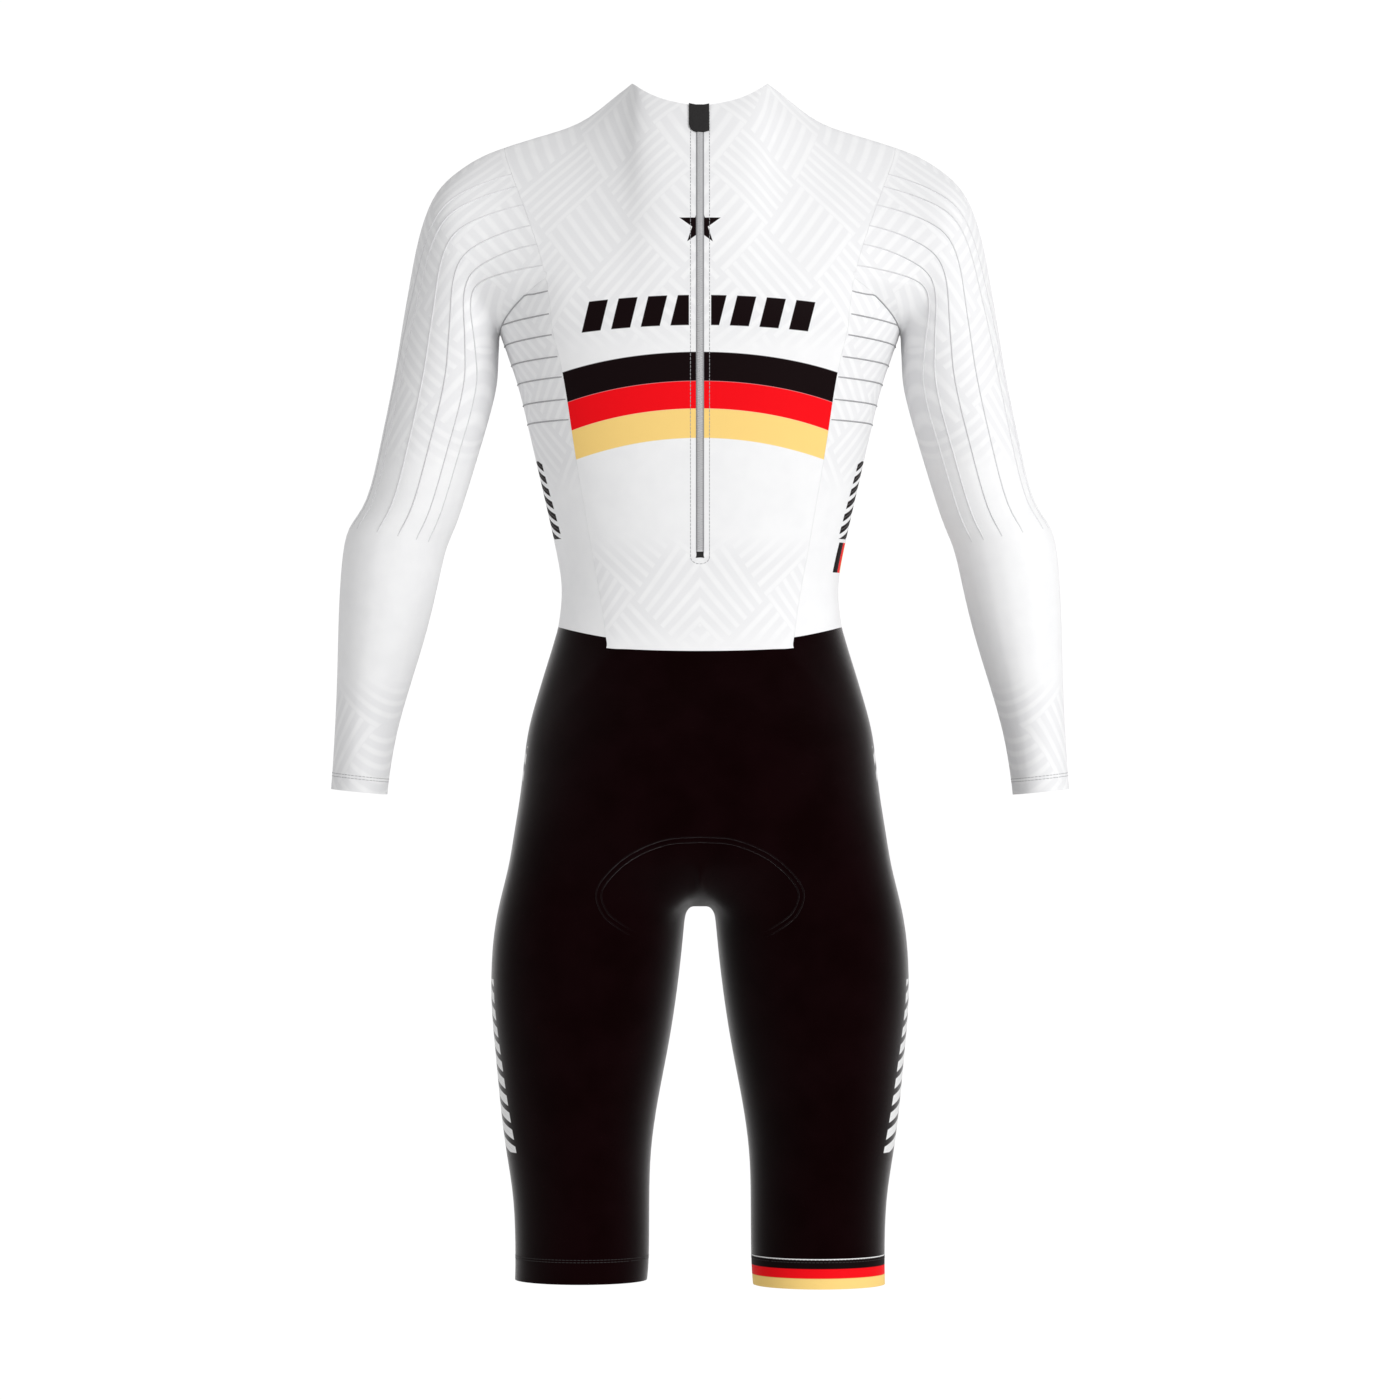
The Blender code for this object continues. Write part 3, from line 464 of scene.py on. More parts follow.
def waist_angles(drop):
    """Angles of all columns of the half trunk at the foot of the top."""
    edge = angle_at(drop, seam_x(drop))
    shares = np.arange(PANEL_COLUMNS + 1) / PANEL_COLUMNS
    back = angle_at(drop, seam_x(drop) * shares)
    side = edge + (np.pi - 2 * edge) * shares[1:]
    front = np.pi - back[::-1][1:]
    return np.concatenate([back, side, front])


def hip_rows():
    """Grid of the shorts from the foot of the top to the row where the legs part."""
    even = np.linspace(0, np.pi, HALF_COLUMNS + 1)
    start = waist_angles(NOTCH_ROW)
    rows = []
    for drop in HIP_ROWS:
        blend = np.clip((drop - NOTCH_ROW) / (HIP_ROWS[EVEN_ROW] - NOTCH_ROW), 0, 1)
        angles = start + (even - start) * blend
        row = []
        for column, angle in enumerate(angles):
            if column <= PANEL_COLUMNS:
                rise = -WAIST_CENTRE_DIP * (1 - (column / PANEL_COLUMNS) ** 2)
            elif column >= 2 * PANEL_COLUMNS:
                rise = -WAIST_CENTRE_DIP * (1 - ((HALF_COLUMNS - column) / PANEL_COLUMNS) ** 2)
            else:
                rise = WAIST_SIDE_RISE * np.sin(np.pi * (column / PANEL_COLUMNS - 1))
            local = row_drop(drop, rise)
            turn = angle if drop > NOTCH_ROW else angle_for(local, column, angle)
            row.append(trunk_point(local, turn))
        rows.append(row)
    return np.array(rows)


def angle_for(local, column, angle):
    """Angle of a column on the notch row, the same as the top's own columns there."""
    if column <= PANEL_COLUMNS:
        return angle_at(local, seam_x(NOTCH_ROW) * column / PANEL_COLUMNS)
    if column >= 2 * PANEL_COLUMNS:
        return np.pi - angle_at(local, seam_x(NOTCH_ROW) * (HALF_COLUMNS - column) / PANEL_COLUMNS)
    edge = angle_at(local, seam_x(local))
    return edge + (np.pi - 2 * edge) * (column / PANEL_COLUMNS - 1)


def crotch_line():
    """Points under the crotch, from centre front to centre back."""
    start = trunk_point(HIP_ROWS[-1], np.pi)
    end = trunk_point(HIP_ROWS[-1], 0.0)
    line = []
    for index in range(CROTCH_COLUMNS + 1):
        share = index / CROTCH_COLUMNS
        dip = (CROTCH_DROP - HIP_ROWS[-1]) * MM * np.sin(np.pi * share) ** CROTCH_CURVE
        y = start[1] + (end[1] - start[1]) * (1 - np.cos(np.pi * share)) / 2
        line.append(np.array([0.0, y, start[2] - dip]))
    return line


def leg_rows(hips):
    """Grid of the left leg: the half ring of the hips and the crotch line, then the leg's own rings."""
    line = crotch_line()
    top = np.array(list(hips[-1]) + line[1:])
    turns = np.linspace(-INSEAM_TURN, 2 * np.pi - INSEAM_TURN, HALF_COLUMNS + CROTCH_COLUMNS + 1)
    sines = np.sin(turns)
    cosines = np.cos(turns)
    stations = [top]
    for drop, centre, half, middle, depth, power in zip(*LEG.values()):
        x = centre + half * np.sign(sines) * np.abs(sines) ** (2 / power)
        y = middle + depth * np.sign(cosines) * np.abs(cosines) ** (2 / power)
        stations.append(np.stack([x, y, np.full_like(x, -drop)], axis=1) * MM)
    chord = stations[1] - stations[0]
    slope = chord.copy()
    fall = hips[-1] - hips[-2]
    reach = np.linalg.norm(chord[:HALF_COLUMNS + 1], axis=1) / np.linalg.norm(fall, axis=1)
    from_middle = np.minimum(np.arange(HALF_COLUMNS + 1), HALF_COLUMNS - np.arange(HALF_COLUMNS + 1))
    lean = np.clip(FOLD_LEAN - FOLD_FADE * from_middle, 0, 1)[:, None]
    slope[:HALF_COLUMNS + 1] = fall * reach[:, None] * (1 - lean) + chord[:HALF_COLUMNS + 1] * lean
    slope[-1] = slope[0]
    for index in range(1, CROTCH_COLUMNS):
        share = np.sin(np.pi * index / CROTCH_COLUMNS)
        arch = np.array([CROTCH_ARCH, 0.0, 0.0])
        column = HALF_COLUMNS + index
        slope[column] = chord[column] * (1 - share) + arch * share
    return loft(stations, LEG_SPLITS, slope)


def sleeve_turns(ring):
    """Angle of each sleeve column round an arm ring, from its outer side by the back."""
    share = max(0.0, 1 - ring / CAP_RINGS)
    half = [arm + (cap - arm) * share for cap, arm in zip(SLEEVE_TURNS["cap"], SLEEVE_TURNS["arm"])]
    return np.radians(half + [360 - turn for turn in half[::-1][1:]])


def sleeve_rows(back_edge, front_edge, underarm, back_inset, front_inset):
    """Grid of the left sleeve, from the armhole to the cuff."""
    loop = np.array(list(back_edge) + list(underarm[1:-1]) + list(front_edge[::-1]))
    stations = [loop]
    for number, (outer_x, outer_drop, inner_x, inner_drop, middle, depth) in enumerate(zip(*ARM.values())):
        turns = sleeve_turns(number)
        outer = np.array([outer_x, 0, -outer_drop]) * MM
        inner = np.array([inner_x, 0, -inner_drop]) * MM
        centre = (outer + inner) / 2 + np.array([0, middle * MM, 0])
        ring = [centre + (outer - inner) / 2 * np.cos(turn) + np.array([0, depth * MM * np.sin(turn), 0])
                for turn in turns]
        stations.append(np.array(ring))
    chord = stations[1] - loop
    reach = np.linalg.norm(chord, axis=1)[:, None]
    last = len(back_edge) - 1
    outward = chord / reach
    outward[:last + 1] = back_edge - back_inset
    outward[-last - 1:] = (front_edge - front_inset)[::-1]
    outward /= np.linalg.norm(outward, axis=1)[:, None]
    straight = np.clip((np.arange(len(loop)) - last + UNDERARM_EASE) / UNDERARM_EASE, 0, 1)
    straight = np.minimum(straight, straight[::-1])[:, None]
    slope = outward * reach * (1 - straight) + chord * straight
    return loft(stations, SLEEVE_SPLITS, slope)


class Skin:
    """Shared points and faces of the whole suit; each face knows the piece that it is cut from."""

    def __init__(self):
        self.points = []
        self.index = {}
        self.faces = []
        self.ribs = []

    def add_point(self, position):
        key = tuple(int(round(value * 1e5)) for value in position)
        if key not in self.index:
            self.index[key] = len(self.points)
            self.points.append(np.array(position, float))
        return self.index[key]

    def add_grid(self, grid, piece_of, side, flip=False, ribs=()):
        """Faces of a grid on one side of the suit; piece_of names the piece of each cell."""
        mirror = np.array([side, 1.0, 1.0])
        ids = [[self.add_point(point * mirror) for point in row] for row in grid]
        for row in range(len(ids) - 1):
            for column in range(len(ids[0]) - 1):
                piece = piece_of(row, column, side)
                corners = [ids[row][column], ids[row][column + 1],
                           ids[row + 1][column + 1], ids[row + 1][column]]
                if flip != (side < 0):
                    corners.reverse()
                corners = [corner for place, corner in enumerate(corners) if corner != corners[place - 1]]
                if len(corners) > 2:
                    self.faces.append((piece, corners))
        for rib in ribs:
            row, column = rib[0]
            piece = piece_of(row, min(column, len(ids[0]) - 2), side)
            self.ribs.append((piece, [ids[row][column] for row, column in rib]))

    def refine(self, levels):
        """Round the coarse skin by subdivision, its points first moved out by what that takes away."""
        names = sorted({piece for piece, corners in self.faces})
        coarse = np.array(self.points)
        count = len(coarse)
        rib_of = {}
        for number, (piece, rib) in enumerate(self.ribs):
            for first, second in zip(rib[:-1], rib[1:]):
                rib_of[frozenset((first, second))] = number + 1
        moved = coarse.copy()
        for turn in range(REFINE_TURNS):
            mesh = bpy.data.meshes.new("coarse_skin")
            mesh.from_pydata([tuple(point) for point in moved], [],
                             [corners for piece, corners in self.faces])
            owner = mesh.attributes.new("owner", "INT", "FACE")
            owner.data.foreach_set("value", [names.index(piece) for piece, corners in self.faces])
            crease = mesh.attributes.new("crease_edge", "FLOAT", "EDGE")
            line = mesh.attributes.new("line", "INT", "EDGE")
            for place, edge in enumerate(mesh.edges):
                first, second = (coarse[end][0] for end in edge.vertices)
                line.data[place].value = rib_of.get(frozenset(edge.vertices), 0)
                if abs(first - second) < SAME_POINT and abs(abs(first) - ZIP_HALF) < SAME_POINT:
                    crease.data[place].value = 1.0
            item = bpy.data.objects.new("coarse_skin", mesh)
            bpy.context.scene.collection.objects.link(item)
            modifier = item.modifiers.new("finer", "SUBSURF")
            modifier.levels = levels
            modifier.render_levels = levels
            bpy.context.view_layer.update()
            fine = bpy.data.meshes.new_from_object(item.evaluated_get(bpy.context.evaluated_depsgraph_get()))
            positions = np.zeros(len(fine.vertices) * 3)
            fine.vertices.foreach_get("co", positions)
            positions = positions.reshape(-1, 3)
            bpy.data.objects.remove(item, do_unlink=True)
            moved += coarse - positions[:count]
        owners = [names[value.value] for value in fine.attributes["owner"].data]
        self.points = positions
        self.faces = [(piece, list(face.vertices)) for piece, face in zip(owners, fine.polygons)]
        self.rib_edges = {}
        for edge, value in zip(fine.edges, fine.attributes["line"].data):
            if value.value:
                self.rib_edges.setdefault(value.value - 1, []).append(tuple(edge.vertices))

    def finish(self):
        """Normals of all points, and the edges between two pieces or at an open end."""
        quads = np.array([corners for piece, corners in self.faces])
        corner_points = self.points[quads]
        areas = np.cross(corner_points[:, 2] - corner_points[:, 0], corner_points[:, 3] - corner_points[:, 1])
        self.normals = np.zeros_like(self.points)
        for place in range(4):
            np.add.at(self.normals, quads[:, place], areas)
        self.normals /= np.linalg.norm(self.normals, axis=1)[:, None]
        middles = corner_points.mean(axis=1)
        edges = {}
        for number, (piece, corners) in enumerate(self.faces):
            for place in range(4):
                edge = frozenset((corners[place - 1], corners[place]))
                edges.setdefault(edge, []).append((piece, number))
        self.seams = {edge: [(piece, middles[number]) for piece, number in sides]
                      for edge, sides in edges.items() if len(sides) == 2 and sides[0][0] != sides[1][0]}

    def seam_shifts(self, piece):
        """How far each of a piece's seam points moves into the piece, to leave half the gap."""
        inward = {}
        for edge, sides in self.seams.items():
            owners = [owner for owner, middle in sides]
            if piece not in owners:
                continue
            middle = sides[owners.index(piece)][1]
            for corner in edge:
                other = next(iter(edge - {corner}))
                along = self.points[other] - self.points[corner]
                along /= np.linalg.norm(along)
                away = middle - self.points[corner]
                away -= along * np.dot(away, along)
                away -= self.normals[corner] * np.dot(away, self.normals[corner])
                inward.setdefault(corner, []).append(away / np.linalg.norm(away))
        shifts = {}
        for corner, ways in inward.items():
            total = np.sum(ways, axis=0)
            reach = np.mean([np.dot(total, way) for way in ways])
            shifts[corner] = total / reach * SEAM_GAP / 2
        return shifts

    def shell(self, piece):
        """Closed wall over a piece's faces, thickened inwards, with its ribs."""
        faces = [corners for owner, corners in self.faces if owner == piece]
        shifts = self.seam_shifts(piece)
        used = sorted({corner for corners in faces for corner in corners})
        shell = bmesh.new()
        outside = {}
        inside = {}
        for corner in used:
            base = self.points[corner] + shifts.get(corner, 0.0)
            outside[corner] = shell.verts.new(base)
            inside[corner] = shell.verts.new(base - self.normals[corner] * WALL)
        border = {}
        for corners in faces:
            shell.faces.new([outside[corner] for corner in corners])
            shell.faces.new([inside[corner] for corner in reversed(corners)])
            for place in range(len(corners)):
                border[(corners[place - 1], corners[place])] = True
        for first, second in border:
            if (second, first) not in border:
                shell.faces.new([outside[second], outside[first], inside[first], inside[second]])
        for number, (owner, rib) in enumerate(self.ribs):
            if owner == piece:
                for run in runs_of(self.rib_edges[number]):
                    points = self.points[run]
                    sweep(shell, points, self.normals[run], RIB_PROFILE, fade_ends(points, RIB_FADE), 1)
        if piece.startswith("side_panel"):
            self.add_side_ribs(shell, piece)
        return shell

    def add_side_ribs(self, shell, piece):
        """Ribs round a side panel from seam to seam, which sink a little below the armpit."""
        tree = BVHTree.FromPolygons([tuple(point) for point in self.points],
                                    [corners for owner, corners in self.faces if owner == piece])
        mirror = np.array([1.0 if piece.endswith("left") else -1.0, 1.0, 1.0])
        shares = np.linspace(*SIDE_RIB_SPAN, SIDE_RIB_POINTS)
        for drop, sink in zip(SIDE_RIB_DROPS, SIDE_RIB_SINKS):
            sunk = drop + sink * (1 - abs(1 - 2 * shares) ** UNDERARM_CURVE)
            edge = angle_at(sunk, seam_x(sunk))
            line = trunk_point(sunk, edge + (np.pi - 2 * edge) * shares) * mirror
            points, normals = nearest(tree, line)
            sweep(shell, points, normals, RIB_PROFILE, fade_ends(points, RIB_FADE), 1)

    def tree(self):
        """What rays and nearest points are looked up on."""
        return BVHTree.FromPolygons([tuple(point) for point in self.points],
                                    [corners for piece, corners in self.faces])


def runs_of(edges):
    """Runs of points along connected edges."""
    links = {}
    for first, second in edges:
        links.setdefault(first, []).append(second)
        links.setdefault(second, []).append(first)
    runs = []
    while links:
        start = next((point for point, others in links.items() if len(others) == 1), next(iter(links)))
        run = [start]
        while links.get(run[-1]):
            following = links[run[-1]].pop()
            links[following].remove(run[-1])
            run.append(following)
        links = {point: others for point, others in links.items() if others}
        runs.append(run)
    return runs


def lengths_along(points):
    """Distance of each point of a line from its start, measured along it."""
    return np.concatenate([[0.0], np.cumsum(np.linalg.norm(np.diff(points, axis=0), axis=1))])


def fade_ends(points, reach):
    """Share of full height at each point of a line, which falls to a low end over the reach."""
    along = lengths_along(points)
    near = np.minimum(along, along[-1] - along)
    return END_HEIGHT + (1 - END_HEIGHT) * np.clip(near / reach, 0, 1)


def close_rings(shell, rings, slot=0):
    """Closed surface over a row of rings, with both ends capped."""
    faces = []
    for before, after in zip(rings[:-1], rings[1:]):
        for place in range(len(before)):
            corners = [before[place - 1], before[place], after[place], after[place - 1]]
            faces.append(shell.faces.new(corners))
    faces.append(shell.faces.new(rings[0]))
    faces.append(shell.faces.new(rings[-1][::-1]))
    for face in faces:
        face.material_index = slot
    bmesh.ops.recalc_face_normals(shell, faces=faces)


def sweep(shell, points, normals, profile, heights=None, slot=0):
    """Closed bar along a line on the skin; the profile holds pairs of distances, sideways and outwards."""
    if heights is None:
        heights = np.ones(len(points))
    along = np.gradient(points, axis=0)
    sides = np.cross(along, normals)
    sides /= np.linalg.norm(sides, axis=1)[:, None]
    rings = []
    for point, normal, side, height in zip(points, normals, sides, heights):
        rings.append([shell.verts.new(point + side * across + normal * (out * height if out > 0 else out))
                      for across, out in profile])
    close_rings(shell, rings, slot)


def resample(points, normals, pitch):
    """Points and normals at an even pitch along a line."""
    along = lengths_along(points)
    places = np.arange(0.0, along[-1], pitch)
    even, turned = (np.stack([np.interp(places, along, values[:, axis]) for axis in range(3)], axis=1)
                    for values in (points, normals))
    return even, turned / np.linalg.norm(turned, axis=1)[:, None]


def stitch_line(shell, points, normals):
    """Row of separate stitches along a line on the skin."""
    even, turned = resample(points, normals, STITCH_PITCH / STITCH_STEPS)
    reach = int(round(STITCH_LENGTH / STITCH_PITCH * STITCH_STEPS))
    for start in range(0, len(even) - reach, STITCH_STEPS):
        part = slice(start, start + reach + 1)
        heights = np.full(reach + 1, 1.0)
        heights[0] = heights[-1] = STITCH_END
        sweep(shell, even[part], turned[part], THREAD_PROFILE, heights)


def add_object(name, shell, *materials):
    """Object from a bmesh, with its materials."""
    mesh = bpy.data.meshes.new(name)
    shell.to_mesh(mesh)
    shell.free()
    for material in materials:
        mesh.materials.append(material)
    mesh.shade_smooth()
    mesh.set_sharp_from_angle(angle=SMOOTH_ANGLE)
    item = bpy.data.objects.new(name, mesh)
    bpy.context.scene.collection.objects.link(item)
    return item


def build_top(skin):
    """Back, front and side panels, the zip and the sleeves."""
    upper_drops = SLEEVE_SEAM_ROWS + UNDERARM_ROWS[1:]
    back = upper_panel(True, upper_drops)
    front = upper_panel(False, upper_drops)
    lower_back = np.array([panel_row(drop, True) for drop in TRUNK_ROWS])
    lower_front = np.array([panel_row(drop, False) for drop in TRUNK_ROWS])
    whole_back = np.concatenate([back[:-1], lower_back])
    whole_front = np.concatenate([front[:-1], lower_front])
    armhole_row = len(SLEEVE_SEAM_ROWS) - 1

    side_rows = UNDERARM_ROWS[:-1] + TRUNK_ROWS
    side = []
    for place, drop in enumerate(side_rows):
        seam_back = whole_back[armhole_row + place, -1]
        seam_front = whole_front[armhole_row + place, -1]
        row = [side_point(drop, index / PANEL_COLUMNS, seam_back, seam_front)
               for index in range(PANEL_COLUMNS + 1)]
        row[0] = seam_back
        row[-1] = seam_front
        side.append(row)
    side = np.array(side)

    sleeve = sleeve_rows(whole_back[:armhole_row + 1, -1], whole_front[:armhole_row + 1, -1], side[0],
                         whole_back[:armhole_row + 1, -2], whole_front[:armhole_row + 1, -2])
    waist_place = side_rows.index(WAIST_ROW)
    rib_columns = [SLEEVE_SEAM_ROWS.index(drop) for drop in SLEEVE_RIBS]
    last_column = sleeve.shape[1] - 1
    rib_columns += [last_column - column for column in rib_columns]
    sleeve_ribs = [[(row, column) for row in range(SLEEVE_RIB_ROWS)] for column in rib_columns]

    def side_piece(row, column, way):
        if row >= waist_place:
            return "shorts_back" if column < PANEL_COLUMNS / 2 else "shorts_front"
        return "side_panel_left" if way > 0 else "side_panel_right"

    for way in (1, -1):
        skin.add_grid(whole_back, lambda row, column, way: "back_panel", way)
        skin.add_grid(whole_front[:, ::-1], lambda row, column, way: "front_panel", way)
        skin.add_grid(side, side_piece, way)
        skin.add_grid(sleeve, lambda row, column, way: "sleeve_left" if way > 0 else "sleeve_right", way,
                      flip=True, ribs=sleeve_ribs)
    add_zip_strip(skin, whole_back[:, 0])
    return sleeve


def add_zip_strip(skin, edge):
    """Strip along the middle of the back: the zip's chain, its bottom stop, then the back panel itself."""
    drops = SLEEVE_SEAM_ROWS + UNDERARM_ROWS[1:-1] + TRUNK_ROWS
    mirrored = edge * np.array([-1.0, 1.0, 1.0])

    def strip_piece(row, column, way):
        if drops[row + 1] <= CHAIN_END:
            return "zip_chain"
        return "zip_stop" if drops[row + 1] <= STOP_END else "back_panel"

    skin.add_grid(np.stack([mirrored, edge], axis=1), strip_piece, 1)


def build_shorts(skin):
    """Shorts from the foot of the top to the leg hems, with the coloured band on the right leg."""
    hips = hip_rows()
    legs = leg_rows(hips)
    half_column = HALF_COLUMNS / 2
    inseam = HALF_COLUMNS + CROTCH_COLUMNS / 2

    def hip_piece(row, column, way):
        return "shorts_back" if column < half_column else "shorts_front"

    def leg_piece(row, column, way):
        if way < 0 and row >= len(legs) - 2:
            return "hem_band_right"
        return "shorts_front" if half_column <= column < inseam else "shorts_back"

    for way in (1, -1):
        rows = legs.copy()
        if way > 0:
            rows[-1, :, 2] += LEFT_HEM_RISE
        skin.add_grid(hips, hip_piece, way)
        skin.add_grid(rows, leg_piece, way)
    return legs


class Cloth:
    """Material whose colour and relief come from the place on the suit."""

    def __init__(self, name, colour, roughness):
        self.material = bpy.data.materials.new(name)
        self.material.use_nodes = True
        self.tree = self.material.node_tree
        self.shader = self.tree.nodes["Principled BSDF"]
        self.shader.inputs["Base Color"].default_value = (*colour, 1.0)
        self.shader.inputs["Roughness"].default_value = roughness
        self.place = self.tree.nodes.new("ShaderNodeTexCoord").outputs["Object"]
        split = self.tree.nodes.new("ShaderNodeSeparateXYZ")
        self.tree.links.new(self.place, split.inputs[0])
        self.x, self.y, self.z = split.outputs

    def set(self, **values):
        """Set values that are the same all over; an underscore stands for a space in the socket's name."""
        for name, value in values.items():
            self.shader.inputs[name.replace("_", " ")].default_value = value

    def math(self, operation, *values):
        node = self.tree.nodes.new("ShaderNodeMath")
        node.operation = operation
        for socket, value in zip(node.inputs, values):
            if isinstance(value, bpy.types.NodeSocket):
                self.tree.links.new(value, socket)
            else:
                socket.default_value = value
        return node.outputs[0]

    def ramp(self, value, start, end, low=0.0, high=1.0):
        """Straight rise from low at the start to high at the end, level outside."""
        node = self.tree.nodes.new("ShaderNodeMapRange")
        self.tree.links.new(value, node.inputs["Value"])
        for name, amount in (("From Min", start), ("From Max", end), ("To Min", low), ("To Max", high)):
            node.inputs[name].default_value = amount
        return node.outputs["Result"]

    def between(self, value, low, high, soft=0.0003):
        """One where the value lies between low and high, nought outside."""
        return self.math("MULTIPLY", self.ramp(value, low - soft, low + soft),
                         self.ramp(value, high + soft, high - soft))

    def all_of(self, *masks):
        total = masks[0]
        for mask in masks[1:]:
            total = self.math("MULTIPLY", total, mask)
        return total

    def any_of(self, *masks):
        total = masks[0]
        for mask in masks[1:]:
            total = self.math("MAXIMUM", total, mask)
        return total

    def mix(self, share, first, second):
        """Colour between two, each a socket or three numbers."""
        node = self.tree.nodes.new("ShaderNodeMix")
        node.data_type = "RGBA"
        self.tree.links.new(share, node.inputs["Factor"])
        for socket, value in ((node.inputs[6], first), (node.inputs[7], second)):
            if isinstance(value, bpy.types.NodeSocket):
                self.tree.links.new(value, socket)
            else:
                socket.default_value = (*value, 1.0)
        return node.outputs[2]

    def noise(self, scale, detail=2.0):
        node = self.tree.nodes.new("ShaderNodeTexNoise")
        node.inputs["Scale"].default_value = scale
        node.inputs["Detail"].default_value = detail
        self.tree.links.new(self.place, node.inputs["Vector"])
        return node.outputs["Fac"]

    def knit(self):
        """Fine loops of a warp knit, from nought to one."""
        turn = 2 * np.pi / KNIT_PITCH
        wales = self.math("SINE", self.math("MULTIPLY", self.math("ADD", self.x, self.y), turn))
        courses = self.math("SINE", self.math("MULTIPLY", self.z, turn * KNIT_COURSES))
        return self.math("MULTIPLY_ADD", self.math("MULTIPLY", wales, courses), 0.5, 0.5)

    def relief(self, height, distance, strength):
        node = self.tree.nodes.new("ShaderNodeBump")
        node.inputs["Strength"].default_value = strength
        node.inputs["Distance"].default_value = distance
        self.tree.links.new(height, node.inputs["Height"])
        self.tree.links.new(node.outputs["Normal"], self.shader.inputs["Normal"])

    def paint(self, colour):
        self.tree.links.new(colour, self.shader.inputs["Base Color"])


def parquet(cloth):
    """Parquet from nought to one: square blocks of stripes, each turned a quarter from the next."""
    fold = cloth.math("MULTIPLY_ADD", cloth.y, -PARQUET_DEPTH, cloth.math("ABSOLUTE", cloth.x))
    sine = float(np.sin(PARQUET_TURN))
    cosine = float(np.cos(PARQUET_TURN))
    across = cloth.math("MULTIPLY_ADD", cloth.z, sine, cloth.math("MULTIPLY", fold, cosine))
    along = cloth.math("MULTIPLY_ADD", cloth.z, cosine, cloth.math("MULTIPLY", fold, -sine))
    first = cloth.math("FLOOR", cloth.math("DIVIDE", across, PARQUET_BLOCK))
    second = cloth.math("FLOOR", cloth.math("DIVIDE", along, PARQUET_BLOCK))
    odd = cloth.math("PINGPONG", cloth.math("ADD", first, second), 1.0)
    line = cloth.math("MULTIPLY_ADD", cloth.math("SUBTRACT", along, across), odd, across)
    wave = cloth.math("SINE", cloth.math("MULTIPLY", line, 2 * np.pi / STRIPE_PERIOD))
    return cloth.ramp(wave, *PARQUET_EDGE)


def black_ground(cloth):
    """Black with slow clouds of a second black."""
    return cloth.mix(cloth.ramp(cloth.noise(CLOUD_SCALE), *CLOUD_RANGE), BLACK, BLACK_SHADE)


def slanted_bars(cloth, half_pitch, low, high):
    """Bars one above the other, slanted from front to back."""
    slanted = cloth.math("MULTIPLY_ADD", cloth.y, SIDE_SLANT, cloth.z)
    return cloth.between(cloth.math("PINGPONG", slanted, half_pitch), low, high)


def white_cloth(name, zones):
    """White stretch knit, with the parquet where the zones (lowest and highest z) say."""
    cloth = Cloth(name, WHITE, roughness=0.62)
    cloth.set(Specular_IOR_Level=0.06, Sheen_Weight=0.03, Sheen_Roughness=0.4)
    mask = cloth.any_of(*[cloth.between(cloth.z, low, high, ZONE_EDGE) for low, high in zones])
    tone = cloth.all_of(parquet(cloth), mask)
    ground = cloth.mix(cloth.ramp(cloth.noise(scale=60.0), *GRAIN_RANGE), WHITE, WHITE_SHADE)
    colour = cloth.mix(tone, ground, TONAL_GREY)
    cloth.relief(cloth.knit(), distance=0.00006, strength=0.35)
    cloth.paint(colour)
    return cloth, colour


def side_cloth(name, has_flag):
    """White knit of a side panel, with a block of dark bars and, on one side, a small flag on its side."""
    cloth, colour = white_cloth(name, SIDE_ZONES)
    block = cloth.all_of(slanted_bars(cloth, *SIDE_BARS), cloth.between(cloth.z, *SIDE_BARS_Z),
                         cloth.between(cloth.y, *SIDE_BARS_Y))
    colour = cloth.mix(block, colour, PRINT_BLACK)
    if has_flag:
        low, high = SIDE_FLAG_Y
        third = (high - low) / 3
        flag = cloth.between(cloth.z, *SIDE_FLAG_Z)
        for number, tint in enumerate((PRINT_BLACK, PRINT_RED, PRINT_GOLD)):
            top = high - number * third
            stripe = cloth.between(cloth.y, high - (number + 1) * third, top, PRINT_EDGE)
            colour = cloth.mix(cloth.all_of(flag, stripe), colour, tint)
    cloth.paint(colour)
    return cloth.material


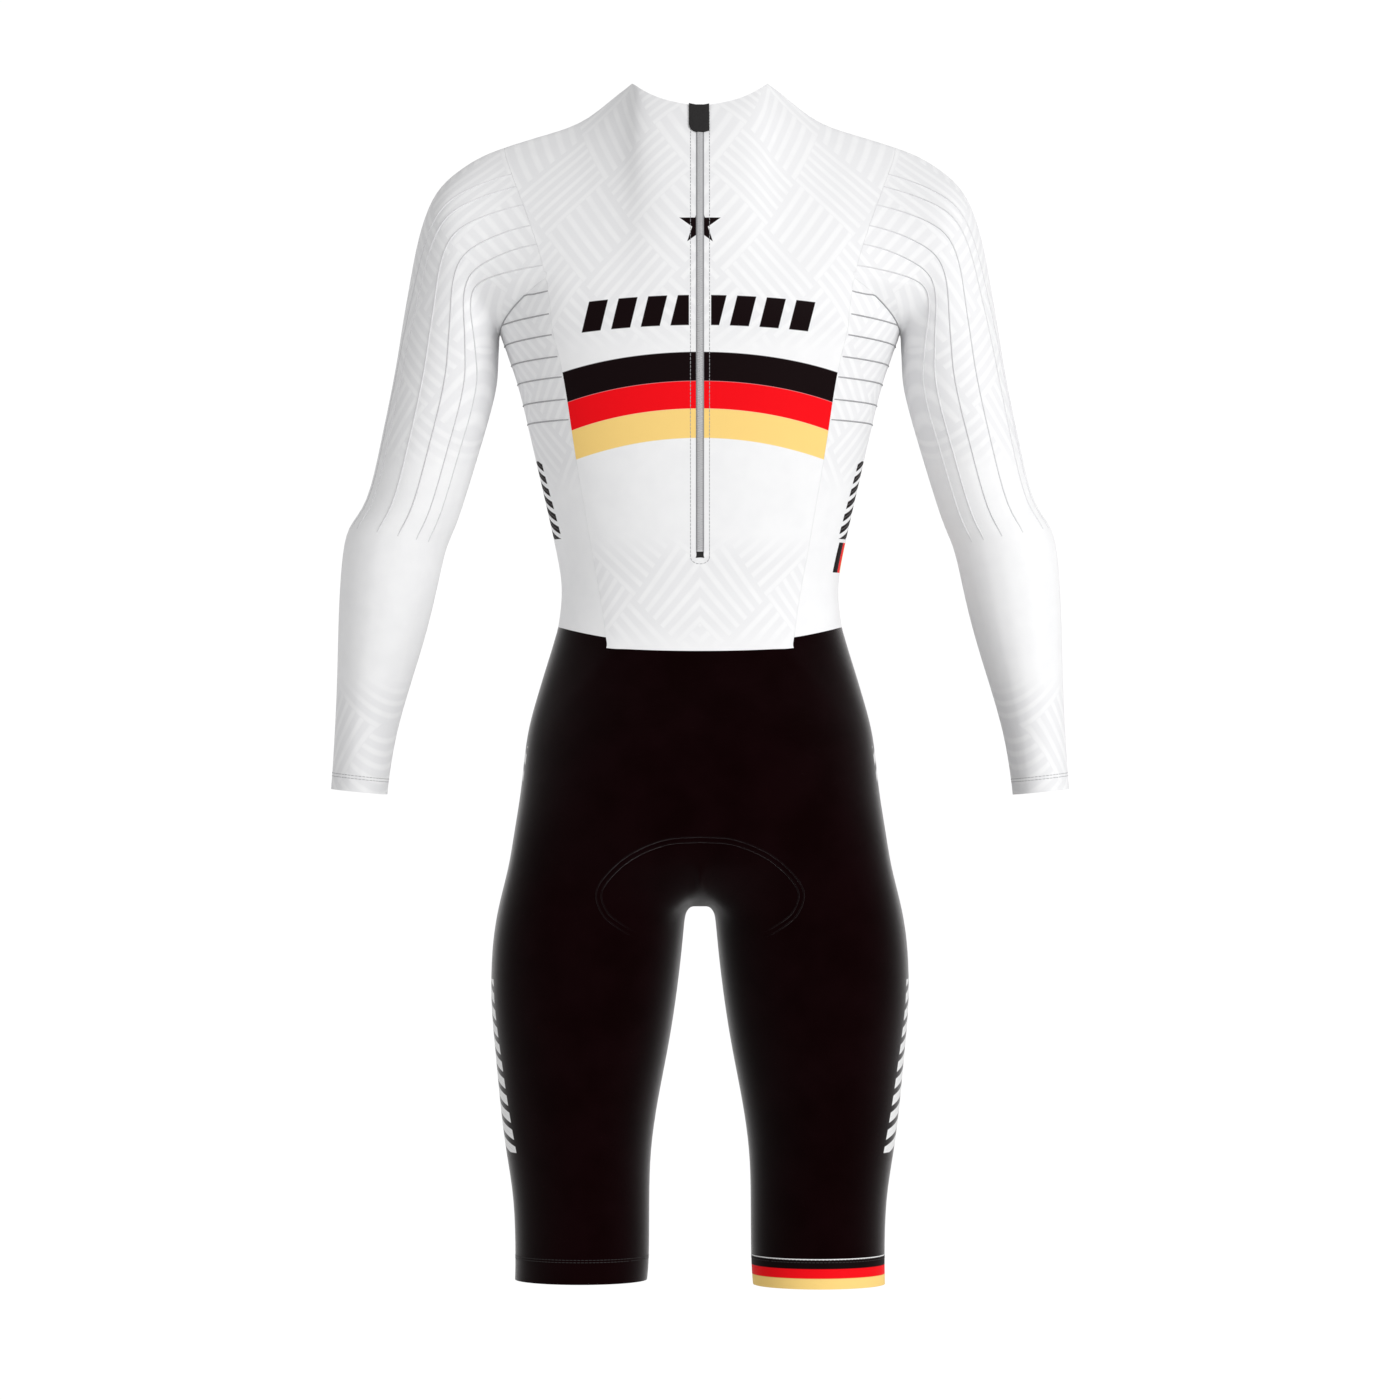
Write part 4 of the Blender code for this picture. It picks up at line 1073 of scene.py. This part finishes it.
def back_cloth():
    """White knit of the back, with the arched flag, the row of plain bars and a star."""
    cloth, colour = white_cloth("white_knit_back", BACK_ZONES)
    square = cloth.math("MULTIPLY", cloth.x, cloth.x)
    bend = cloth.ramp(cloth.z, *FLAG_BEND_Z, *FLAG_BEND)
    arched = cloth.math("MULTIPLY_ADD", square, bend, cloth.z)
    for low, high, tint in FLAG_BANDS:
        colour = cloth.mix(cloth.between(arched, low, high), colour, tint)
    level = cloth.math("MULTIPLY_ADD", square, BARS_BEND, cloth.z)
    leant = cloth.math("MULTIPLY_ADD", level, BARS_LEAN, cloth.x)
    beat = cloth.math("PINGPONG", cloth.math("ADD", leant, BARS_START), BARS_PITCH / 2)
    bars = cloth.all_of(cloth.ramp(beat, BARS_WIDTH / 2 + PRINT_EDGE, BARS_WIDTH / 2 - PRINT_EDGE),
                        cloth.between(level, *BARS_Z), cloth.between(leant, *BARS_X),
                        cloth.ramp(cloth.math("ABSOLUTE", cloth.x), BARS_CLEAR, BARS_CLEAR + PRINT_EDGE))
    colour = cloth.mix(bars, colour, PRINT_BLACK)
    up = cloth.math("SUBTRACT", cloth.z, STAR_Z)
    turn = cloth.math("ARCTAN2", cloth.x, up)
    tip = cloth.math("PINGPONG", turn, np.pi / 5)
    reach = cloth.math("SQRT", cloth.math("MULTIPLY_ADD", up, up, square))
    edge = cloth.math("MULTIPLY", reach, cloth.math("COSINE", cloth.math("SUBTRACT", tip, STAR_TURN)))
    star = cloth.ramp(edge, STAR_EDGE + PRINT_EDGE, STAR_EDGE - PRINT_EDGE)
    colour = cloth.mix(star, colour, PRINT_BLACK)
    cloth.paint(colour)
    return cloth.material


def black_cloth(name):
    """Black stretch knit with a soft sheen, and white bars down the outer thighs."""
    cloth = Cloth(name, BLACK, roughness=0.6)
    cloth.set(Specular_IOR_Level=0.0, Sheen_Weight=0.9, Sheen_Roughness=0.31)
    colour = black_ground(cloth)
    blocks = cloth.any_of(*[cloth.between(cloth.z, low, high) for low, high in THIGH_BARS_Z])
    strip = cloth.all_of(cloth.between(cloth.y, *THIGH_BARS_Y),
                         cloth.ramp(cloth.math("ABSOLUTE", cloth.x), *THIGH_BARS_X))
    bars = cloth.all_of(slanted_bars(cloth, *THIGH_BARS), blocks, strip)
    colour = cloth.mix(bars, colour, PRINT_WHITE)
    cloth.relief(cloth.knit(), distance=0.00008, strength=0.5)
    cloth.paint(colour)
    return cloth.material


def band_cloth():
    """Hem band: a white line over black, red and gold rings."""
    cloth = Cloth("band_knit", PRINT_BLACK, roughness=0.62)
    cloth.set(Specular_IOR_Level=0.06, Sheen_Weight=0.03, Sheen_Roughness=0.4)
    colour = black_ground(cloth)
    for low, high, tint in HEM_RINGS:
        colour = cloth.mix(cloth.between(cloth.z, low, high), colour, tint)
    cloth.relief(cloth.knit(), distance=0.00006, strength=0.4)
    cloth.paint(colour)
    return cloth.material


def plain_finish(name, colour, shade, roughness, grain):
    """Finish of small parts: one colour with a fine grain."""
    cloth = Cloth(name, colour, roughness)
    cloth.set(Specular_IOR_Level=0.3)
    grains = cloth.noise(grain, detail=3.0)
    cloth.paint(cloth.mix(cloth.ramp(grains, *GRAIN_RANGE), colour, shade))
    cloth.relief(grains, distance=0.00008, strength=0.3)
    return cloth.material


def chain_finish():
    """Nylon of the zip's coil, with shade painted on as a darker grey towards its edges."""
    cloth = Cloth("coil_nylon_painted_edge_shade", COIL_GREY, roughness=0.45)
    cloth.set(Specular_IOR_Level=0.3)
    outer = cloth.math("ABSOLUTE", cloth.x)
    cloth.paint(cloth.mix(cloth.ramp(outer, *COIL_EDGE_X), COIL_GREY, COIL_EDGE_PAINTED_SHADE))
    cloth.relief(cloth.noise(scale=700.0, detail=3.0), distance=0.00008, strength=0.3)
    return cloth.material


def fine_copy(node, name, bevel, material):
    """Rounded copy of a small CAD node, to stand for it."""
    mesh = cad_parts[node].data.copy()
    shell = bmesh.new()
    shell.from_mesh(mesh)
    bmesh.ops.remove_doubles(shell, verts=shell.verts, dist=MERGE_REACH)
    bmesh.ops.dissolve_limit(shell, angle_limit=FLAT_ANGLE, verts=shell.verts, edges=shell.edges)
    sharp = [edge for edge in shell.edges if len(edge.link_faces) == 2
             and edge.calc_face_angle() > BEVEL_ANGLE]
    bmesh.ops.bevel(shell, geom=sharp, offset=bevel, segments=BEVEL_STEPS, profile=0.5, affect="EDGES",
                    clamp_overlap=True)
    return add_object(name, shell, material)


def on_back(tree, path):
    """Points and outward normals where the back's skin lies behind each x and z of a path."""
    places = []
    normals = []
    for x, z in path:
        place, normal, face, distance = tree.ray_cast(Vector((x, 1.0, z)), Vector((0.0, -1.0, 0.0)))
        places.append(np.array(place))
        normals.append(np.array(normal) if normal[1] >= 0 else -np.array(normal))
    return np.array(places), np.array(normals)


def nearest(tree, points):
    """Nearest points on the skin to the given ones, and its normals there."""
    places = []
    normals = []
    for point in points:
        place, normal, face, distance = tree.find_nearest(Vector(point))
        places.append(np.array(place))
        normals.append(np.array(normal))
    return np.array(places), np.array(normals)


def closed_loop(points):
    """Smooth closed line through a ring of points."""
    ring = np.array(list(points) + [points[0]])
    along = lengths_along(ring)
    places = np.linspace(0.0, along[-1], HEM_FINENESS * len(ring))
    return np.stack([smooth(places, along, ring[:, axis]) for axis in range(3)], axis=1)


def zip_stitches(shell, tree):
    """Two stitch lines beside the zip, which meet in a round end below it."""
    down = list(np.linspace(ZIP_STITCH_TOP, ZIP_STITCH_FOOT, ZIP_STITCH_POINTS))
    path = [(ZIP_STITCH_X, z) for z in down]
    for turn in np.linspace(0, np.pi, ZIP_STITCH_TURN_POINTS):
        path.append((ZIP_STITCH_X * np.cos(turn), ZIP_STITCH_FOOT - ZIP_STITCH_CURVE * np.sin(turn)))
    path += [(-ZIP_STITCH_X, z) for z in reversed(down)]
    stitch_line(shell, *on_back(tree, path))


def hem_stitches(shell, tree, grid, shares):
    """Stitch lines round the left and right hems, between a grid's last ring and the one before it."""
    for way in (1.0, -1.0):
        before, last = grid[-2:, :-1] * np.array([way, 1.0, 1.0])
        for share in shares:
            stitch_line(shell, *nearest(tree, closed_loop(last + (before - last) * share)))


def zip_coil(shell, tree):
    """Coil of the closed zip: a loop of wire from each side in turn, down the chain."""
    count = int((COIL_TOP - COIL_FOOT) / COIL_PITCH * 2)
    for number in range(count):
        z = COIL_TOP - number * COIL_PITCH / 2
        way = 1 if number % 2 else -1
        (place,), (normal,) = on_back(tree, [(0.0, z)])
        side = np.array([1.0, 0.0, 0.0])
        down = np.cross(side, normal)
        ends = (way * COIL_REACH, -way * COIL_OVERLAP * COIL_REACH)
        rings = []
        for share in COIL_SHARES:
            across = ends[0] + (ends[1] - ends[0]) * share
            size = COIL_END_SIZE if share in (0.0, 1.0) else 1.0
            rings.append([shell.verts.new(place + side * across + down * COIL_PITCH * COIL_WIRE * size * along
                                          + normal * (COIL_LIFT + COIL_HEIGHT * size * up))
                          for along, up in COIL_PROFILE])
        close_rings(shell, rings)


def pad_ridges(shell, tree):
    """Faint double line where the seat pad is sewn in behind the seat."""
    stations = np.arange(len(PAD_LINE))
    line = np.array(PAD_LINE)
    fine = np.linspace(0, len(PAD_LINE) - 1, PAD_POINTS)
    right = np.stack([smooth(fine, stations, line[:, axis]) for axis in range(2)], axis=1)
    right[:, 0] = np.maximum(right[:, 0], 0.0)
    whole = np.concatenate([(right * np.array([-1.0, 1.0]))[:0:-1], right])
    along = np.gradient(whole, axis=0)
    aside = np.stack([-along[:, 1], along[:, 0]], axis=1)
    aside /= np.linalg.norm(aside, axis=1)[:, None]
    for offset in (0.0, -PAD_GAP):
        points, normals = on_back(tree, whole + aside * offset)
        sweep(shell, points, normals, RIDGE_PROFILE, fade_ends(points, PAD_FADE))


def seam_bindings(skin):
    """Narrow strips inside the seams, which the neighbouring pieces are sewn to."""
    pairs = {}
    for edge, sides in skin.seams.items():
        names = tuple(sorted(owner for owner, middle in sides))
        if not any(name in ("zip_chain", "zip_stop") for name in names):
            pairs.setdefault(names, []).append(tuple(edge))
    shells = {"white": bmesh.new(), "black": bmesh.new()}
    for names, edges in pairs.items():
        kind = "black" if any(name.startswith(("shorts", "hem")) for name in names) else "white"
        for run in runs_of(edges):
            if len(run) > BINDING_SHORTEST:
                sweep(shells[kind], skin.points[run], skin.normals[run], BINDING_PROFILE)
    return shells


def build_stage():
    """Plain floor and backdrop, soft light from the wearer's right, and the camera behind the suit."""
    scene = bpy.context.scene
    floor_material = Cloth("stage_floor", FLOOR_GREY, roughness=0.9)
    floor_material.paint(floor_material.mix(floor_material.noise(scale=3.0), FLOOR_GREY, FLOOR_SHADE))
    bpy.ops.mesh.primitive_plane_add(size=FLOOR_SIZE, location=(0, 0, FLOOR_Z))
    floor = bpy.context.object
    floor.name = "stage_floor"
    floor.data.materials.append(floor_material.material)
    backdrop_material = bpy.data.materials.new("stage_backdrop")
    backdrop_material.use_nodes = True
    shader = backdrop_material.node_tree.nodes["Principled BSDF"]
    shader.inputs["Base Color"].default_value = (0.0, 0.0, 0.0, 1.0)
    shader.inputs["Emission Color"].default_value = (1.0, 1.0, 1.0, 1.0)
    shader.inputs["Emission Strength"].default_value = 1.0
    bpy.ops.mesh.primitive_plane_add(size=BACKDROP_SIZE, location=(0, BACKDROP_Y, VIEW_HEIGHT),
                                     rotation=(np.pi / 2, 0, 0))
    backdrop = bpy.context.object
    backdrop.name = "stage_backdrop"
    backdrop.data.materials.append(backdrop_material)

    world = bpy.data.worlds.new("soft_room")
    scene.world = world
    world.use_nodes = True
    background = world.node_tree.nodes["Background"]
    background.inputs["Color"].default_value = (1.0, 1.0, 1.0, 1.0)
    background.inputs["Strength"].default_value = ROOM_LIGHT
    for name, place, size, power in LAMPS:
        lamp = bpy.data.lights.new(name, "AREA")
        lamp.shape = "DISK"
        lamp.size = size
        lamp.energy = power
        item = bpy.data.objects.new(name, lamp)
        item.location = place
        towards = Vector((0, 0, VIEW_HEIGHT)) - Vector(place)
        item.rotation_euler = towards.to_track_quat("-Z", "Y").to_euler()
        scene.collection.objects.link(item)

    camera = bpy.data.cameras.new("view_from_behind")
    camera.sensor_width = SENSOR
    camera.lens = SENSOR * VIEW_DISTANCE / VIEW_WIDTH
    camera.clip_end = VIEW_END
    item = bpy.data.objects.new("view_from_behind", camera)
    item.location = (0.0, VIEW_DISTANCE, VIEW_HEIGHT)
    item.rotation_euler = (np.pi / 2, 0.0, np.pi)
    scene.collection.objects.link(item)
    scene.camera = item
    scene.view_settings.view_transform = "Standard"


def main():
    build_stage()
    skin = Skin()
    sleeve = build_top(skin)
    legs = build_shorts(skin)
    skin.refine(REFINE_LEVELS)
    skin.finish()
    tree = skin.tree()

    plain_white = white_cloth("white_knit", PLAIN_ZONES)[0].material
    sleeve_white = white_cloth("white_knit_sleeve", SLEEVE_ZONES)[0].material
    black = black_cloth("black_knit")
    finish_of = {name: plain_finish(name, *values) for name, values in FINISHES.items()}
    # The rib finishes are greys darker than the knit: they paint the shade along the raised ribs
    sleeve_rib = finish_of["sleeve_rib_painted_shade"]
    side_rib = finish_of["side_rib_painted_shade"]
    rib_of = {"sleeve_left": sleeve_rib, "sleeve_right": sleeve_rib, "side_panel_left": side_rib,
              "side_panel_right": side_rib}
    cloth_of = {
        "front_panel": plain_white,
        "back_panel": back_cloth(),
        "side_panel_left": side_cloth("white_knit_side_left", False),
        "side_panel_right": side_cloth("white_knit_side_right", True),
        "sleeve_left": sleeve_white,
        "sleeve_right": sleeve_white,
        "shorts_front": black,
        "shorts_back": black,
        "hem_band_right": band_cloth(),
    }

    for node, material in cloth_of.items():
        finishes = (material, rib_of[node]) if node in rib_of else (material,)
        piece = add_object(node + "_cloth", skin.shell(node), *finishes)
        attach(piece, "root")
        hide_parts(node)

    chain = skin.shell("zip_chain")
    zip_coil(chain, tree)
    chain = add_object("zip_coil_chain", chain, chain_finish())
    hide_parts("zip_chain")
    stop = add_object("zip_end_stop", skin.shell("zip_stop"), finish_of["tab_knit"])
    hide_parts("zip_stop")
    tapes = []
    for side in ("left", "right"):
        tape = fine_copy("zip_tape_" + side, "zip_tape_cloth_" + side, TAPE_BEVEL,
                         finish_of["zip_tape_weave"])
        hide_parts("zip_tape_" + side)
        tapes.append(tape)
    tab = fine_copy("zip_garage", "zip_tab", TAB_BEVEL, finish_of["tab_knit"])
    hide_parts("zip_garage")

    white_stitches = bmesh.new()
    zip_stitches(white_stitches, tree)
    hem_stitches(white_stitches, tree, sleeve, HEM_SHARES)
    white_stitches = add_object("white_stitches", white_stitches, finish_of["white_thread"])
    black_stitches = bmesh.new()
    hem_stitches(black_stitches, tree, legs, LEG_HEM_SHARES)
    black_stitches = add_object("black_stitches", black_stitches, finish_of["black_thread"])
    ridges = bmesh.new()
    pad_ridges(ridges, tree)
    ridges = add_object("seat_pad_lines", ridges, black)
    bindings = seam_bindings(skin)
    white_binding = add_object("seam_binding_white", bindings["white"], plain_white)
    black_binding = add_object("seam_binding_black", bindings["black"], black)
    slots = {
        "zip_coil": (chain, stop),
        "white_lycra": (*tapes, white_stitches, white_binding),
        "black_lycra": (tab, black_stitches, ridges, black_binding),
    }
    for slot, members in slots.items():
        for piece in members:
            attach(piece, "root")


main()
